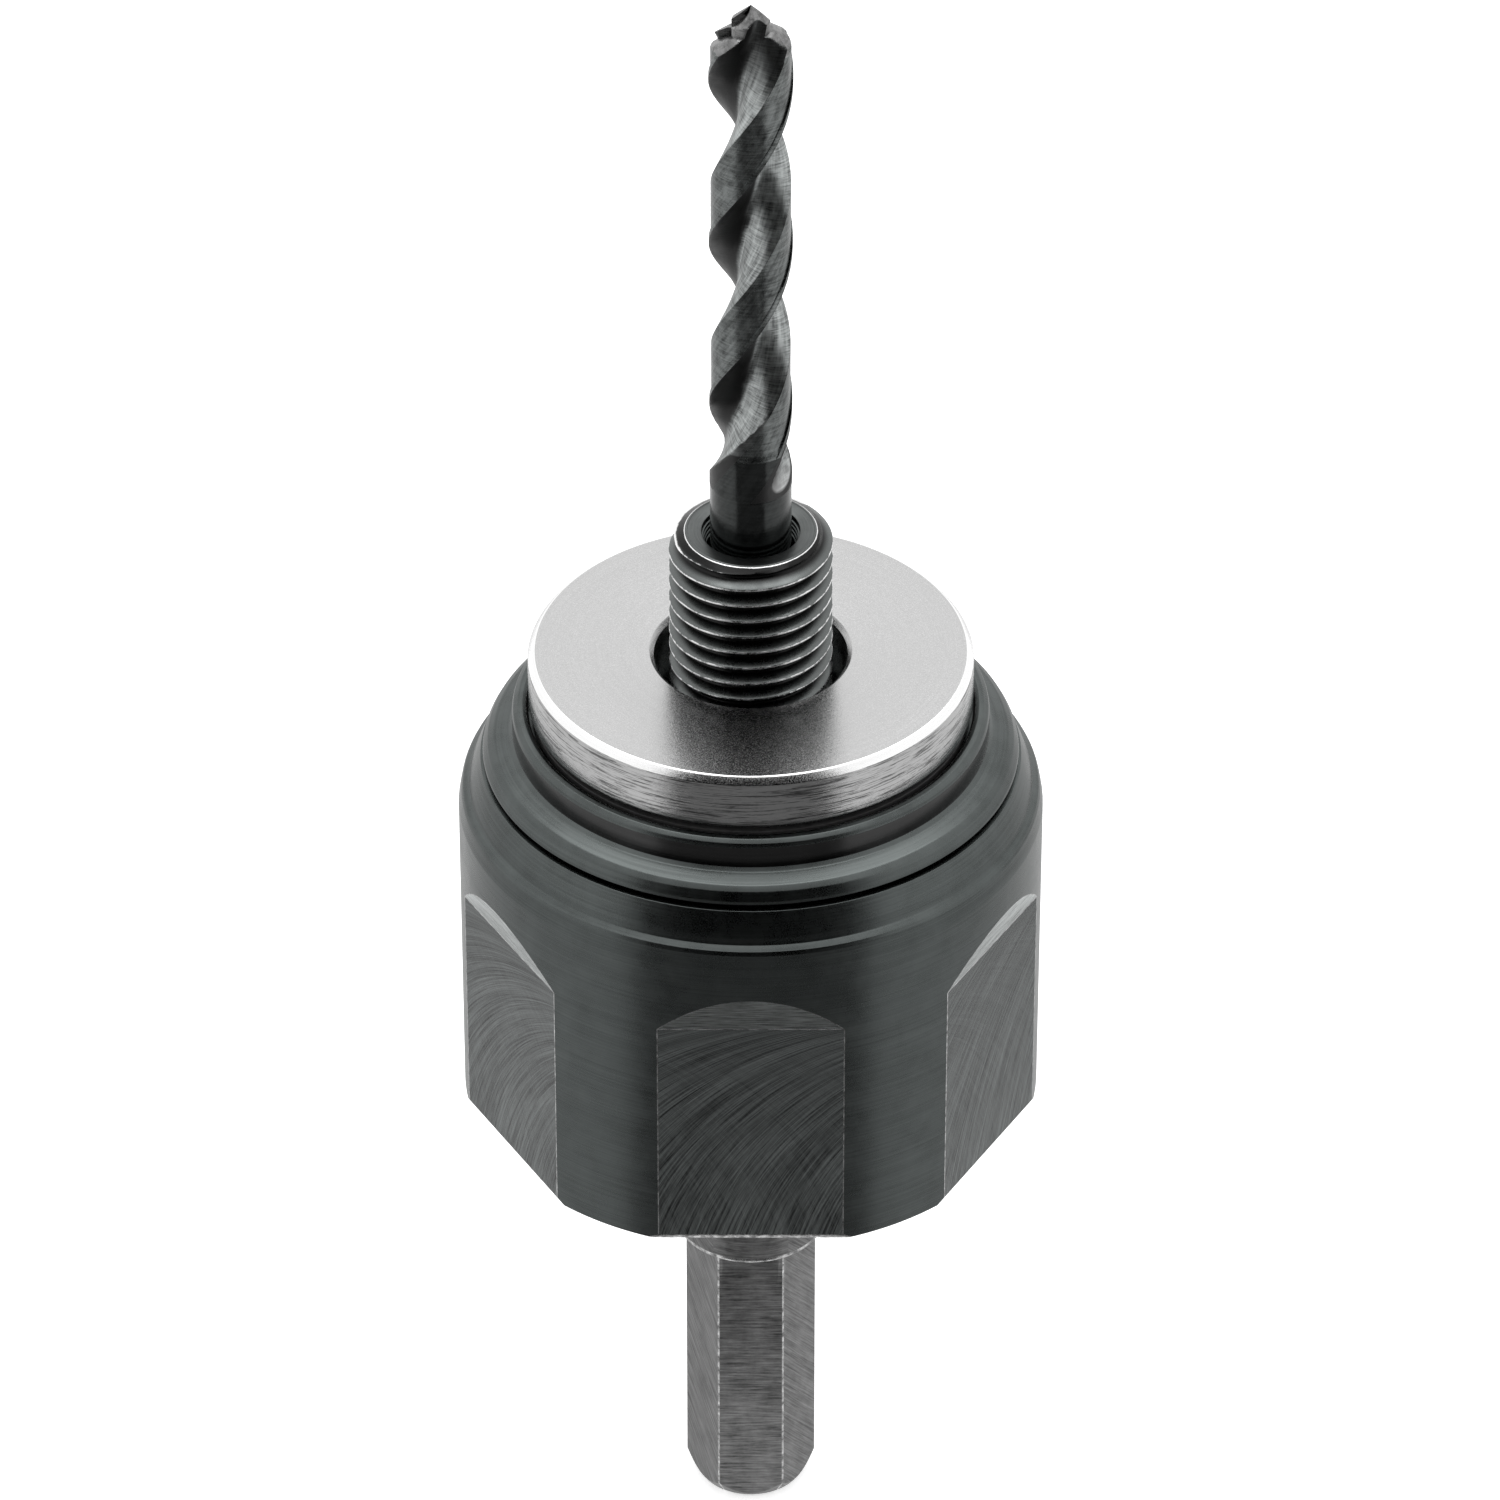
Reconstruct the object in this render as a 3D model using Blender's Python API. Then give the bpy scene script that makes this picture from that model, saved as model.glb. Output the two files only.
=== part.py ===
"""Easy-release hole-saw arbor with pilot drill. Metres, +Z up from the end of the hex shank, front at -Y."""

import math

import bmesh
import bpy
from mathutils import Matrix, Vector

MM = 0.001
TAU = 2 * math.pi

SHANK_AF = 10.0 * MM  # hex across flats
FLANGE_R = 15.0 * MM
FLANGE_Z = (48.5 * MM, 54.0 * MM)
HUB_R = 10.0 * MM  # carries the quick-lead thread of the body
HUB_TOP = 72.2 * MM
GUIDE_R = 7.9 * MM  # centres the disc
GUIDE_TOP = 83.5 * MM
NOSE_TOP = 101.9 * MM
THREAD_R = 6.9 * MM  # nose thread, crest
THREAD_ROOT = 6.0 * MM
THREAD_PITCH = 1.5875 * MM  # 16 turns to the inch
BORE_R = 3.75 * MM
BORE_FLOOR = 55.6 * MM
BORE_MOUTH_R = 4.1 * MM

PILOT_R = 3.46 * MM
PILOT_SHANK_R = 3.42 * MM
PILOT_FOOT = 56.0 * MM
PILOT_TIP = 153.0 * MM
FLUTE_START = 106.7 * MM
LAND_START = 110.8 * MM  # where the lands drop below the margins
LAND_FADE = 0.7 * MM
FLUTE_LEAD = 31.2 * MM
LAND_AT_FRONT = 141.0 * MM  # height where a land faces the front

BODY_R = 25.0 * MM
BODY_FOOT = 44.7 * MM
BODY_TOP = 84.35 * MM
FLAT_HALF = 23.73 * MM  # half the width across the spanner flats
FLAT_TOP = 67.4 * MM
RUNOUT_TOP = 71.3 * MM

DISC_R = 18.9 * MM
DISC_HOLE_R = 8.2 * MM
DISC_FACE = 89.7 * MM
DISC_BACK = 84.65 * MM

BALLS = 12
BALL_R = 1.5 * MM
BALL_CIRCLE = 12.8 * MM
BALL_Z = 77.2 * MM

SCREW_Z = 61.0 * MM
PIN_CIRCLE = 13.0 * MM
PIN_R = 1.25 * MM
PIN_ANGLES = (-50.0, 130.0)
RELEASE_TURN = 90.0  # degrees between the stops

# Linear base colour, metallic, roughness
FINISHES = {
    "blackened_steel": ((0.075, 0.082, 0.079), 0.85, 0.42),
    "bright_steel": ((0.62, 0.62, 0.61), 1.0, 0.3),
    "drill_steel": ((0.12, 0.125, 0.125), 1.0, 0.24),
    "bearing_steel": ((0.7, 0.7, 0.7), 1.0, 0.15),
    "spring_steel": ((0.2, 0.2, 0.2), 1.0, 0.35),
    "brass": ((0.72, 0.5, 0.2), 1.0, 0.3),
    "rubber": ((0.02, 0.02, 0.02), 0.0, 0.7),
    "cage_nylon": ((0.5, 0.47, 0.38), 0.0, 0.5),
}


def clear_scene():
    for obj in list(bpy.data.objects):
        bpy.data.objects.remove(obj, do_unlink=True)


def add_object(name, verts, faces, finish=None):
    mesh = bpy.data.meshes.new(name)
    mesh.from_pydata([tuple(v) for v in verts], [], faces)
    mesh.validate()
    obj = bpy.data.objects.new(name, mesh)
    bpy.context.scene.collection.objects.link(obj)
    bm = bmesh.new()
    bm.from_mesh(mesh)
    bmesh.ops.recalc_face_normals(bm, faces=bm.faces)
    bm.to_mesh(mesh)
    bm.free()
    if finish:
        dress(obj, finish)
    return obj


def dress(obj, finish, crease=20):
    colour, metallic, roughness = FINISHES[finish]
    material = bpy.data.materials.new(obj.name + "_finish")
    material.use_nodes = True
    shader = material.node_tree.nodes["Principled BSDF"]
    shader.inputs["Base Color"].default_value = (*colour, 1.0)
    shader.inputs["Metallic"].default_value = metallic
    shader.inputs["Roughness"].default_value = roughness
    material.diffuse_color = (*colour, 1.0)
    obj.data.materials.clear()
    obj.data.materials.append(material)
    obj.data.shade_smooth()
    obj.data.set_sharp_from_angle(angle=math.radians(crease))


def remove(obj):
    bpy.data.objects.remove(obj, do_unlink=True)


def boolean(obj, tool, operation):
    """Applies one exact Boolean and drops the tool."""
    modifier = obj.modifiers.new("step", "BOOLEAN")
    modifier.solver = "EXACT"
    modifier.operation = operation
    modifier.object = tool
    graph = bpy.context.evaluated_depsgraph_get()
    result = bpy.data.meshes.new_from_object(obj.evaluated_get(graph))
    obj.modifiers.clear()
    obj.data = result
    remove(tool)


def lathe(name, profile, steps, finish=None):
    """Turns a closed (radius, height) outline, in millimetres, about Z. A radius of 0 closes on the axis.
    A third number is half the width across six flats that the row is cut back to."""
    verts = []
    rows = []
    for radius, height, *flats in profile:
        if radius == 0:
            rows.append([len(verts)] * steps)
            verts.append((0, 0, height * MM))
            continue
        rows.append(list(range(len(verts), len(verts) + steps)))
        for step in range(steps):
            angle = TAU * step / steps
            reach = radius * MM
            if flats:
                off_normal = (angle + math.pi / 2) % (TAU / 6)
                off_normal = min(off_normal, TAU / 6 - off_normal)
                reach = min(reach, flats[0] * MM / math.cos(off_normal))
            verts.append((reach * math.cos(angle), reach * math.sin(angle), height * MM))
    faces = []
    for row, following in zip(rows, rows[1:] + rows[:1]):
        for step in range(steps):
            after = (step + 1) % steps
            corners = [row[step], row[after], following[after], following[step]]
            corners = list(dict.fromkeys(corners))
            if len(corners) > 2:
                faces.append(corners)
    return add_object(name, verts, faces, finish)


def rod(name, start, end, radius, steps, finish=None):
    """A plain cylinder between two points."""
    axis = Vector(end) - Vector(start)
    turn = axis.to_track_quat("Z", "Y").to_matrix()
    verts = []
    for along in (0, 1):
        for step in range(steps):
            angle = TAU * step / steps
            local = Vector((radius * math.cos(angle), radius * math.sin(angle), axis.length * along))
            verts.append(Vector(start) + turn @ local)
    faces = [list(range(steps))[::-1], list(range(steps, 2 * steps))]
    for step in range(steps):
        after = (step + 1) % steps
        faces.append([step, after, steps + after, steps + step])
    return add_object(name, verts, faces, finish)


def prism(name, outline, low, high, place):
    """Extrudes a flat outline between two heights, and maps each (u, v, w) through place."""
    count = len(outline)
    verts = [place(u, v, low) for u, v in outline] + [place(u, v, high) for u, v in outline]
    faces = [list(range(count))[::-1], list(range(count, 2 * count))]
    for step in range(count):
        after = (step + 1) % count
        faces.append([step, after, count + after, count + step])
    return add_object(name, verts, faces)


def torus(name, major, minor, height, steps, finish):
    profile = []
    for step in range(10):
        angle = TAU * step / 10
        profile.append((major + minor * math.cos(angle), height + minor * math.sin(angle)))
    return lathe(name, profile, steps, finish)


def arc_block(name, inner, outer, low, high, start, end, steps, finish=None):
    """A flat ring segment between two angles in degrees, sizes in millimetres."""
    outline = []
    for radius, order in ((outer, range(steps + 1)), (inner, range(steps, -1, -1))):
        for step in order:
            angle = math.radians(start + (end - start) * step / steps)
            outline.append((radius * MM * math.cos(angle), radius * MM * math.sin(angle)))
    block = prism(name, outline, low * MM, high * MM, lambda u, v, w: (u, v, w))
    if finish:
        dress(block, finish)
    return block


def threaded_rod(name, low, high, steps):
    """One continuous right-hand helical crest and root, closed at both ends with a fan."""
    shape = [(0.144, THREAD_ROOT), (0.44, THREAD_R), (0.56, THREAD_R), (0.856, THREAD_ROOT)]
    per_turn = len(shape)
    turns = int(math.ceil((high - low) / THREAD_PITCH))
    rows = turns * per_turn + 1
    verts = []
    for row in range(rows + per_turn):
        fraction, radius = shape[row % per_turn]
        base = low + THREAD_PITCH * (row // per_turn + fraction)
        for step in range(steps):
            angle = TAU * step / steps
            height = base + THREAD_PITCH * step / steps
            verts.append((radius * math.cos(angle), radius * math.sin(angle), height))
    faces = []
    for row in range(rows - 1):
        for step in range(steps):
            here = row * steps + step
            above = here + steps
            if step == steps - 1:
                right = (row + per_turn) * steps
                right_above = right + steps
            else:
                right = here + 1
                right_above = above + 1
            faces.append([here, right, right_above, above])
    foot = [step for step in range(steps)] + [row * steps for row in range(per_turn, 0, -1)]
    top_row = (rows - 1) * steps
    head = [top_row + step for step in range(steps)]
    head += [(rows - 1 + row) * steps for row in range(per_turn, 0, -1)]
    for loop, height in ((foot, low - THREAD_PITCH), (head, high + 2.5 * THREAD_PITCH)):
        centre = len(verts)
        verts.append((0, 0, height))
        for first, second in zip(loop, loop[1:] + loop[:1]):
            faces.append([first, second, centre])
    used = sorted({index for face in faces for index in face})
    lookup = {index: place for place, index in enumerate(used)}
    verts = [verts[index] for index in used]
    faces = [[lookup[index] for index in face] for face in faces]
    return add_object(name, verts, faces)


def arbor_spindle():
    half = SHANK_AF / 2 / MM
    spindle = lathe(
        "arbor_spindle",
        [
            (0, 0),
            (4.7, 0),
            (5.72, 1.6, half),
            (5.72, 28.3, half),
            (6.5, 28.3),
            (6.6, 28.4),
            (6.6, 47.8),
            (7.3, 48.5),
            (14.6, 48.5),
            (15.0, 48.9),
            (15.0, 53.6),
            (14.6, 54.0),
            (10.0, 54.0),
            (10.0, 66.5),
            (8.0, 66.5),
            (8.0, 68.9),
            (10.0, 68.9),
            (10.0, 71.8),
            (9.6, 72.2),
            (7.9, 72.2),
            (7.9, 83.1),
            (7.5, 83.5),
            (0, 83.5),
        ],
        48,
    )
    nose = threaded_rod("nose", 79.39 * MM, NOSE_TOP + MM, 20)
    envelope = lathe("envelope", [(0, 80.0), (7.3, 80.0), (7.3, 100.9), (5.55, 101.9), (0, 101.9)], 40)
    boolean(nose, envelope, "INTERSECT")
    boolean(spindle, nose, "UNION")
    mouth = BORE_MOUTH_R / MM
    bore = BORE_R / MM
    floor = BORE_FLOOR / MM
    hole = lathe("hole", [(0, floor), (bore, floor), (bore, 101.2), (mouth, 101.6), (mouth, 103), (0, 103)], 32)
    boolean(spindle, hole, "DIFFERENCE")
    boolean(
        spindle,
        rod("tapped", (0, 3.0 * MM, SCREW_Z), (0, 11.5 * MM, SCREW_Z), 3.1 * MM, 20),
        "DIFFERENCE",
    )
    for angle in PIN_ANGLES:
        x = PIN_CIRCLE * math.cos(math.radians(angle))
        y = PIN_CIRCLE * math.sin(math.radians(angle))
        hole = rod("pin_hole", (x, y, 50.0 * MM), (x, y, 55.0 * MM), PIN_R + 0.3 * MM, 12)
        boolean(spindle, hole, "DIFFERENCE")
    dress(spindle, "blackened_steel", 16)


# Radius of the drill's section against the angle from a land's centre, as (degrees, share of the radius).
# The raised margin is on the leading side, then come the cutting face, the web and the heel.
SECTION = (
    (-33.5, 0.955),
    (25.5, 0.955),
    (26.5, 1.0),
    (33.5, 1.0),
    (37.0, 0.76),
    (47.0, 0.48),
    (62.0, 0.34),
    (78.0, 0.30),
    (95.0, 0.33),
    (112.0, 0.45),
    (128.0, 0.66),
    (139.0, 0.84),
    (146.5, 0.955),
)
# How far the flute's floor is lifted where it runs out, as (height, lift) in millimetres
RUN_OUT = (
    (106.8, 2.45),
    (107.2, 2.3),
    (108.3, 1.8),
    (109.5, 1.4),
    (111.3, 1.0),
    (112.7, 0.8),
    (115.5, 0.0),
)
# Outline of the stepped point on its cutting side, as (radius, height) in millimetres
POINT = ((3.46, 149.5), (1.95, 150.6), (1.58, 150.65), (1.58, 151.6), (0.0, 153.0))
POINT_RELIEF = 0.9  # millimetres that the point falls behind each cutting edge


def follow(table, value):
    """Straight-line reading of a table of pairs that is in order of its first column."""
    for (first, low), (second, high) in zip(table, table[1:]):
        if value <= second:
            share = min(max((value - first) / (second - first), 0.0), 1.0)
            return low + (high - low) * share
    return table[-1][1]


def drill_radius(angle, height):
    """Radius of the drill's surface at an angle, in radians, and a height, in millimetres."""
    twist = TAU * (height - LAND_AT_FRONT / MM) / (FLUTE_LEAD / MM)
    around = math.degrees(angle - twist + math.pi / 2)
    around = (around + 33.5) % 180 - 33.5
    share = min(max((height * MM - LAND_START) / LAND_FADE, 0.0), 1.0)
    full = PILOT_R / MM
    section = full * follow(SECTION, around)
    if around <= 33.5:
        radius = full - (full - section) * share
    else:
        land = full * (1 - 0.045 * share)
        radius = min(full if around < 60.0 else land, section + follow(RUN_OUT, height))
    if height < FLUTE_START / MM:
        radius = PILOT_SHANK_R / MM
    behind = min(max((33.5 - around) / 67.0, 0.0), 1.0)
    heights = tuple((-high, wide) for wide, high in reversed(POINT))
    return min(radius, follow(heights, -(height + POINT_RELIEF * behind)))


def pilot_drill():
    count = 30
    foot = PILOT_FOOT / MM
    start = FLUTE_START / MM
    levels = [foot + 0.6, 80.0, start - 0.1]
    levels += [start + 0.6 * step for step in range(6)]
    while levels[-1] < 147.2:
        levels.append(levels[-1] + 1.25)
    levels += [148.4, 148.9, 149.4, 149.8, 150.2, 150.6, 150.65, 151.1, 151.6, 152.1, 152.6]
    verts = []
    for height in levels:
        twist = TAU * max(height - start, 0) / (FLUTE_LEAD / MM)
        for step in range(count):
            angle = TAU * step / count + twist
            reach = max(drill_radius(angle, height), 0.05) * MM
            verts.append((reach * math.cos(angle), reach * math.sin(angle), height * MM))
    faces = []
    for row in range(len(levels) - 1):
        for step in range(count):
            after = (step + 1) % count
            low = row * count
            faces.append([low + step, low + after, low + count + after, low + count + step])
    verts.append((0, 0, foot * MM))
    verts.append((0, 0, PILOT_TIP))
    last = (len(levels) - 1) * count
    for step in range(count):
        after = (step + 1) % count
        faces.append([after, step, len(verts) - 2])
        faces.append([last + step, last + after, len(verts) - 1])
    for step in range(count):
        angle = TAU * step / count
        verts.append((2.9 * MM * math.cos(angle), 2.9 * MM * math.sin(angle), foot * MM))
    lower = len(verts) - count
    faces = [face for face in faces if len(verts) - count - 2 not in face]
    for step in range(count):
        after = (step + 1) % count
        faces.append([lower + step, lower + after, after, step])
        faces.append([lower + after, lower + step, len(verts) - count - 2])
    add_object("pilot_drill", verts, faces, "drill_steel")


def thrust_disc():
    lathe(
        "thrust_disc",
        [
            (8.2, 89.3),
            (8.6, 89.7),
            (18.35, 89.7),
            (18.9, 89.1),
            (18.9, 85.0),
            (18.6, 84.65),
            (15.2, 84.65),
            (15.2, 81.4),
            (16.6, 81.4),
            (16.6, 80.4),
            (8.2, 80.4),
        ],
        48,
        "bright_steel",
    )


def release_body():
    body = lathe(
        "release_body",
        [
            (24.8, 44.7),
            (25.0, 44.9),
            (25.0, 74.4),
            (24.75, 75.8),
            (24.6, 76.1),
            (24.05, 76.5),
            (23.9, 76.9),
            (23.05, 79.2),
            (20.0, 79.2),
            (20.0, 76.0),
            (17.0, 76.0),
            (17.0, 73.9),
            (10.3, 73.9),
            (10.3, 56.2),
            (15.4, 56.2),
            (15.4, 48.0),
            (17.8, 48.0),
            (17.8, 46.3),
            (18.7, 46.3),
            (18.7, 45.0),
            (17.8, 45.0),
            (17.8, 44.7),
        ],
        48,
    )
    for side in range(6):
        turn = Matrix.Rotation(math.radians(60 * side), 4, "Z")
        slope = (RUNOUT_TOP - FLAT_TOP) / (BODY_R - FLAT_HALF)
        reach = 28 * MM
        outline = [
            (FLAT_HALF - 3 * MM, 40 * MM),
            (FLAT_HALF - 0.38 * MM, BODY_FOOT),
            (FLAT_HALF, BODY_FOOT + 0.65 * MM),
            (FLAT_HALF, FLAT_TOP),
            (reach, FLAT_TOP + (reach - FLAT_HALF) * slope),
            (reach, 40 * MM),
        ]
        cutter = prism("flat", outline, -20 * MM, 20 * MM, lambda u, v, w, t=turn: t @ Vector((w, -u, v)))
        boolean(body, cutter, "DIFFERENCE")
    boolean(
        body,
        rod("key_hole", (0, 9.0 * MM, SCREW_Z), (0, 27.0 * MM, SCREW_Z), 3.4 * MM, 20),
        "DIFFERENCE",
    )
    for angle in PIN_ANGLES:
        half_pin = math.degrees((PIN_R + 0.3 * MM) / PIN_CIRCLE)
        slot = arc_block(
            "slot", 11.45, 14.55, 55.5, 62.8, angle - half_pin, angle + RELEASE_TURN + half_pin, 12
        )
        boolean(body, slot, "DIFFERENCE")
    dress(body, "blackened_steel", 12)


def top_ring():
    """Screwed into the body's pocket, over the disc's flange."""
    lathe(
        "top_ring",
        [
            (22.6, 79.5),
            (22.85, 79.75),
            (22.8, 80.0),
            (22.42, 80.72),
            (21.95, 81.07),
            (20.62, 81.48),
            (20.3, 81.75),
            (20.3, 83.8),
            (20.2, 84.15),
            (19.95, 84.35),
            (19.2, 84.35),
            (18.9, 84.05),
            (18.9, 83.2),
            (15.5, 83.2),
            (15.5, 81.8),
            (17.0, 81.8),
            (17.0, 76.3),
            (19.7, 76.3),
            (19.7, 79.5),
        ],
        48,
        "blackened_steel",
    )


def bearing():
    lathe("upper_race", [(8.6, 79.0), (16.5, 79.0), (16.5, 80.1), (8.6, 80.1)], 36, "bearing_steel")
    lathe("lower_race", [(8.6, 74.2), (16.6, 74.2), (16.6, 75.4), (8.6, 75.4)], 36, "bearing_steel")
    cage = lathe("ball_cage", [(9.5, 76.5), (16.0, 76.5), (16.0, 77.9), (9.5, 77.9)], 36)
    for index in range(BALLS):
        angle = TAU * (index + 0.5) / BALLS
        x = BALL_CIRCLE * math.cos(angle)
        y = BALL_CIRCLE * math.sin(angle)
        pocket = rod("pocket", (x, y, 76.0 * MM), (x, y, 78.4 * MM), BALL_R + 0.3 * MM, 12)
        boolean(cage, pocket, "DIFFERENCE")
        ball(f"thrust_ball_{index + 1:02d}", (x, y, BALL_Z))
    dress(cage, "cage_nylon")


def ball(name, centre):
    rings = 6
    steps = 10
    verts = [(centre[0], centre[1], centre[2] - BALL_R)]
    for ring in range(1, rings):
        tilt = math.pi * ring / rings
        for step in range(steps):
            angle = TAU * step / steps
            x = centre[0] + BALL_R * math.sin(tilt) * math.cos(angle)
            y = centre[1] + BALL_R * math.sin(tilt) * math.sin(angle)
            verts.append((x, y, centre[2] - BALL_R * math.cos(tilt)))
    verts.append((centre[0], centre[1], centre[2] + BALL_R))
    faces = []
    top = len(verts) - 1
    last = 1 + (rings - 2) * steps
    for step in range(steps):
        after = (step + 1) % steps
        faces.append([0, 1 + after, 1 + step])
        faces.append([top, last + step, last + after])
        for ring in range(rings - 2):
            low = 1 + ring * steps
            faces.append([low + step, low + after, low + steps + after, low + steps + step])
    add_object(name, verts, faces, "bearing_steel")


def rings_and_seals():
    lathe("dust_seal", [(15.5, 83.5), (18.6, 83.5), (18.6, 84.2), (15.5, 84.35)], 36, "rubber")
    torus("hub_o_ring", 9.2, 0.85, 67.7, 32, "rubber")
    lathe(
        "bottom_cover",
        [
            (6.95, 45.0),
            (9.9, 45.0),
            (10.2, 45.3),
            (10.2, 46.3),
            (17.3, 46.3),
            (17.5, 46.5),
            (17.5, 47.7),
            (6.95, 47.7),
            (6.95, 47.1),
            (8.6, 47.1),
            (8.6, 45.7),
            (6.95, 45.7),
        ],
        40,
        "bright_steel",
    )
    arc_block("cover_snap_ring", 15.6, 18.4, 45.3, 46.0, 98, 442, 28, "spring_steel")
    torus("neck_seal", 7.65, 0.62, 46.4, 32, "rubber")


def stop_pins():
    for number, angle in enumerate(PIN_ANGLES, 1):
        x = PIN_CIRCLE * math.cos(math.radians(angle)) / MM
        y = PIN_CIRCLE * math.sin(math.radians(angle)) / MM
        pin = lathe(
            f"stop_pin_{number}",
            [(0, 50.3), (1.05, 50.3), (1.25, 50.5), (1.25, 60.7), (1.05, 61.0), (0, 61.0)],
            12,
            "bearing_steel",
        )
        pin.data.transform(Matrix.Translation((x * MM, y * MM, 0)))


def set_screw():
    facing = Matrix.Translation((0, 0, SCREW_Z)) @ Matrix.Rotation(-math.pi / 2, 4, "X")
    pad = lathe(
        "set_screw_pad",
        [(0, 3.78), (1.7, 3.78), (2.0, 4.05), (2.0, 5.0), (0, 5.0)],
        20,
        "brass",
    )
    pad.data.transform(facing)
    screw = lathe(
        "set_screw",
        [(0, 5.3), (2.4, 5.3), (2.8, 5.7), (2.8, 8.0), (2.5, 8.3), (0, 8.3)],
        24,
    )
    socket = [(1.6 * MM * math.cos(TAU * i / 6), 1.6 * MM * math.sin(TAU * i / 6)) for i in range(6)]
    cutter = prism("socket", socket, 6.7 * MM, 9.0 * MM, lambda u, v, w: (u, v, w))
    boolean(screw, cutter, "DIFFERENCE")
    screw.data.transform(facing)
    dress(screw, "spring_steel")


def main():
    clear_scene()
    scene = bpy.context.scene
    scene.unit_settings.system = "METRIC"
    scene.unit_settings.scale_length = 1.0
    arbor_spindle()
    pilot_drill()
    thrust_disc()
    release_body()
    top_ring()
    bearing()
    rings_and_seals()
    stop_pins()
    set_screw()


main()
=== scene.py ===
"""Looks of an easy-release hole-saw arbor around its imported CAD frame.
Metres, +Z up, front at -Y."""

import math

import bmesh
import bpy
from mathutils import Matrix, Vector


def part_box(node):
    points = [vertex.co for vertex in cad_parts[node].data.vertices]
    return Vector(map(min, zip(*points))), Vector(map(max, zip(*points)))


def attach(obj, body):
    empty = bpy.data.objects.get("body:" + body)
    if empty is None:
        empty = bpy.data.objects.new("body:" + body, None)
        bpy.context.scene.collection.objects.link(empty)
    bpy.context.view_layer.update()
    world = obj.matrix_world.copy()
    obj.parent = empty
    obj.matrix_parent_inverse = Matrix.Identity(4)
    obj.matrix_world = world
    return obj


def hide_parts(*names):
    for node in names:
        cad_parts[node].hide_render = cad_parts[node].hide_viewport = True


MM = 0.001
MM_PER_METRE = 1000
TAU = 2 * math.pi
SIXTH = TAU / 6

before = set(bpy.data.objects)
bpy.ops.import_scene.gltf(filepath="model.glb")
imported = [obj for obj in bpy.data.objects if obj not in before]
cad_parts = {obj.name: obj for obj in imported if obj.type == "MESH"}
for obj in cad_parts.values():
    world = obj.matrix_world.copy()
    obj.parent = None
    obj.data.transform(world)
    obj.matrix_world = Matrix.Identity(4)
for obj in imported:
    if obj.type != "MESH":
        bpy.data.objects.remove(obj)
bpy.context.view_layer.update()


def spot(radius, angle, height):
    """A point at an angle in radians from the front."""
    return radius * math.sin(angle), -radius * math.cos(angle), height


def on_circle(radius, degrees):
    """A point's x and y at an angle from the X axis."""
    angle = math.radians(degrees)
    return radius * math.cos(angle), radius * math.sin(angle)


# ---------------- camera, floor and light

CAMERA_ELEVATION = math.radians(35.7)
CAMERA_DISTANCE = 0.755
CAMERA_TARGET = Vector((0, 0, 0.0792))
CAMERA_LENS = 212.5
CAMERA_SENSOR = 36
CAMERA_SHIFT = -0.00053

WORLD_STRENGTH = 1.1
FLOOR_GLOW = 0.5
CARD_GLOW = 0.85
FLAG_GLOW = 0.18
NEAR_FLAG_GLOW = 0.04
SOFTBOX_SIZE = 0.8
SOFTBOX_SPOT = (0, 0.35, 0.95)
SOFTBOX_RADIANCE = 2.2

# The floor, and the unseen cards just above it that set what the metal reflects
DISC_STEPS = 64
SECTOR_STEPS = 16
FLOOR_RADIUS = 4
FLOOR_HEIGHT = -0.0002
CARD_RADIUS = 1.2
CARD_HEIGHT = -0.00015
FLAG_HEIGHT = -0.0001
FLAG_HALF_ANGLE = 42
FLAG_EDGES = (0.026, 0.055, 0.6)
CURTAIN_HALF_ANGLE = 45
CURTAIN_ELEVATIONS = (-7, 62)
CURTAIN_DISTANCE = 0.6
CURTAIN_COLUMNS = 17
CURTAIN_ROWS = 13


def add_camera():
    data = bpy.data.cameras.new("camera")
    data.lens = CAMERA_LENS
    data.sensor_width = CAMERA_SENSOR
    data.shift_x = CAMERA_SHIFT
    data.clip_start = 0.01
    data.clip_end = 100
    camera = bpy.data.objects.new("camera", data)
    bpy.context.scene.collection.objects.link(camera)
    back = Vector((0, -math.cos(CAMERA_ELEVATION), math.sin(CAMERA_ELEVATION)))
    camera.location = CAMERA_TARGET + back * CAMERA_DISTANCE
    camera.rotation_mode = "QUATERNION"
    camera.rotation_quaternion = (-back).to_track_quat("-Z", "Y")
    bpy.context.scene.camera = camera


def add_world():
    world = bpy.data.worlds.new("studio")
    bpy.context.scene.world = world
    world.use_nodes = True
    background = world.node_tree.nodes["Background"]
    background.inputs["Color"].default_value = (1, 1, 1, 1)
    background.inputs["Strength"].default_value = WORLD_STRENGTH


def plain_material(name, colour, glow=0.0):
    material = bpy.data.materials.new(name)
    material.use_nodes = True
    shader = material.node_tree.nodes["Principled BSDF"]
    shader.inputs["Base Color"].default_value = (*colour, 1)
    shader.inputs["Roughness"].default_value = 1.0
    shader.inputs["Specular IOR Level"].default_value = 0.0
    shader.inputs["Emission Color"].default_value = (1, 1, 1, 1)
    shader.inputs["Emission Strength"].default_value = glow
    return material


def show_stage(name, verts, faces, material, seen=True):
    """Floor or card, in metres. An unseen card shows in reflections only."""
    mesh = bpy.data.meshes.new(name)
    mesh.from_pydata(verts, [], faces)
    mesh.materials.append(material)
    obj = bpy.data.objects.new(name, mesh)
    bpy.context.scene.collection.objects.link(obj)
    obj.visible_camera = seen
    if not seen:
        obj.visible_shadow = False
        obj.visible_diffuse = False


def disc_points(radius, height):
    angles = [TAU * step / DISC_STEPS for step in range(DISC_STEPS)]
    return [(radius * math.cos(angle), radius * math.sin(angle), height) for angle in angles]


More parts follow.
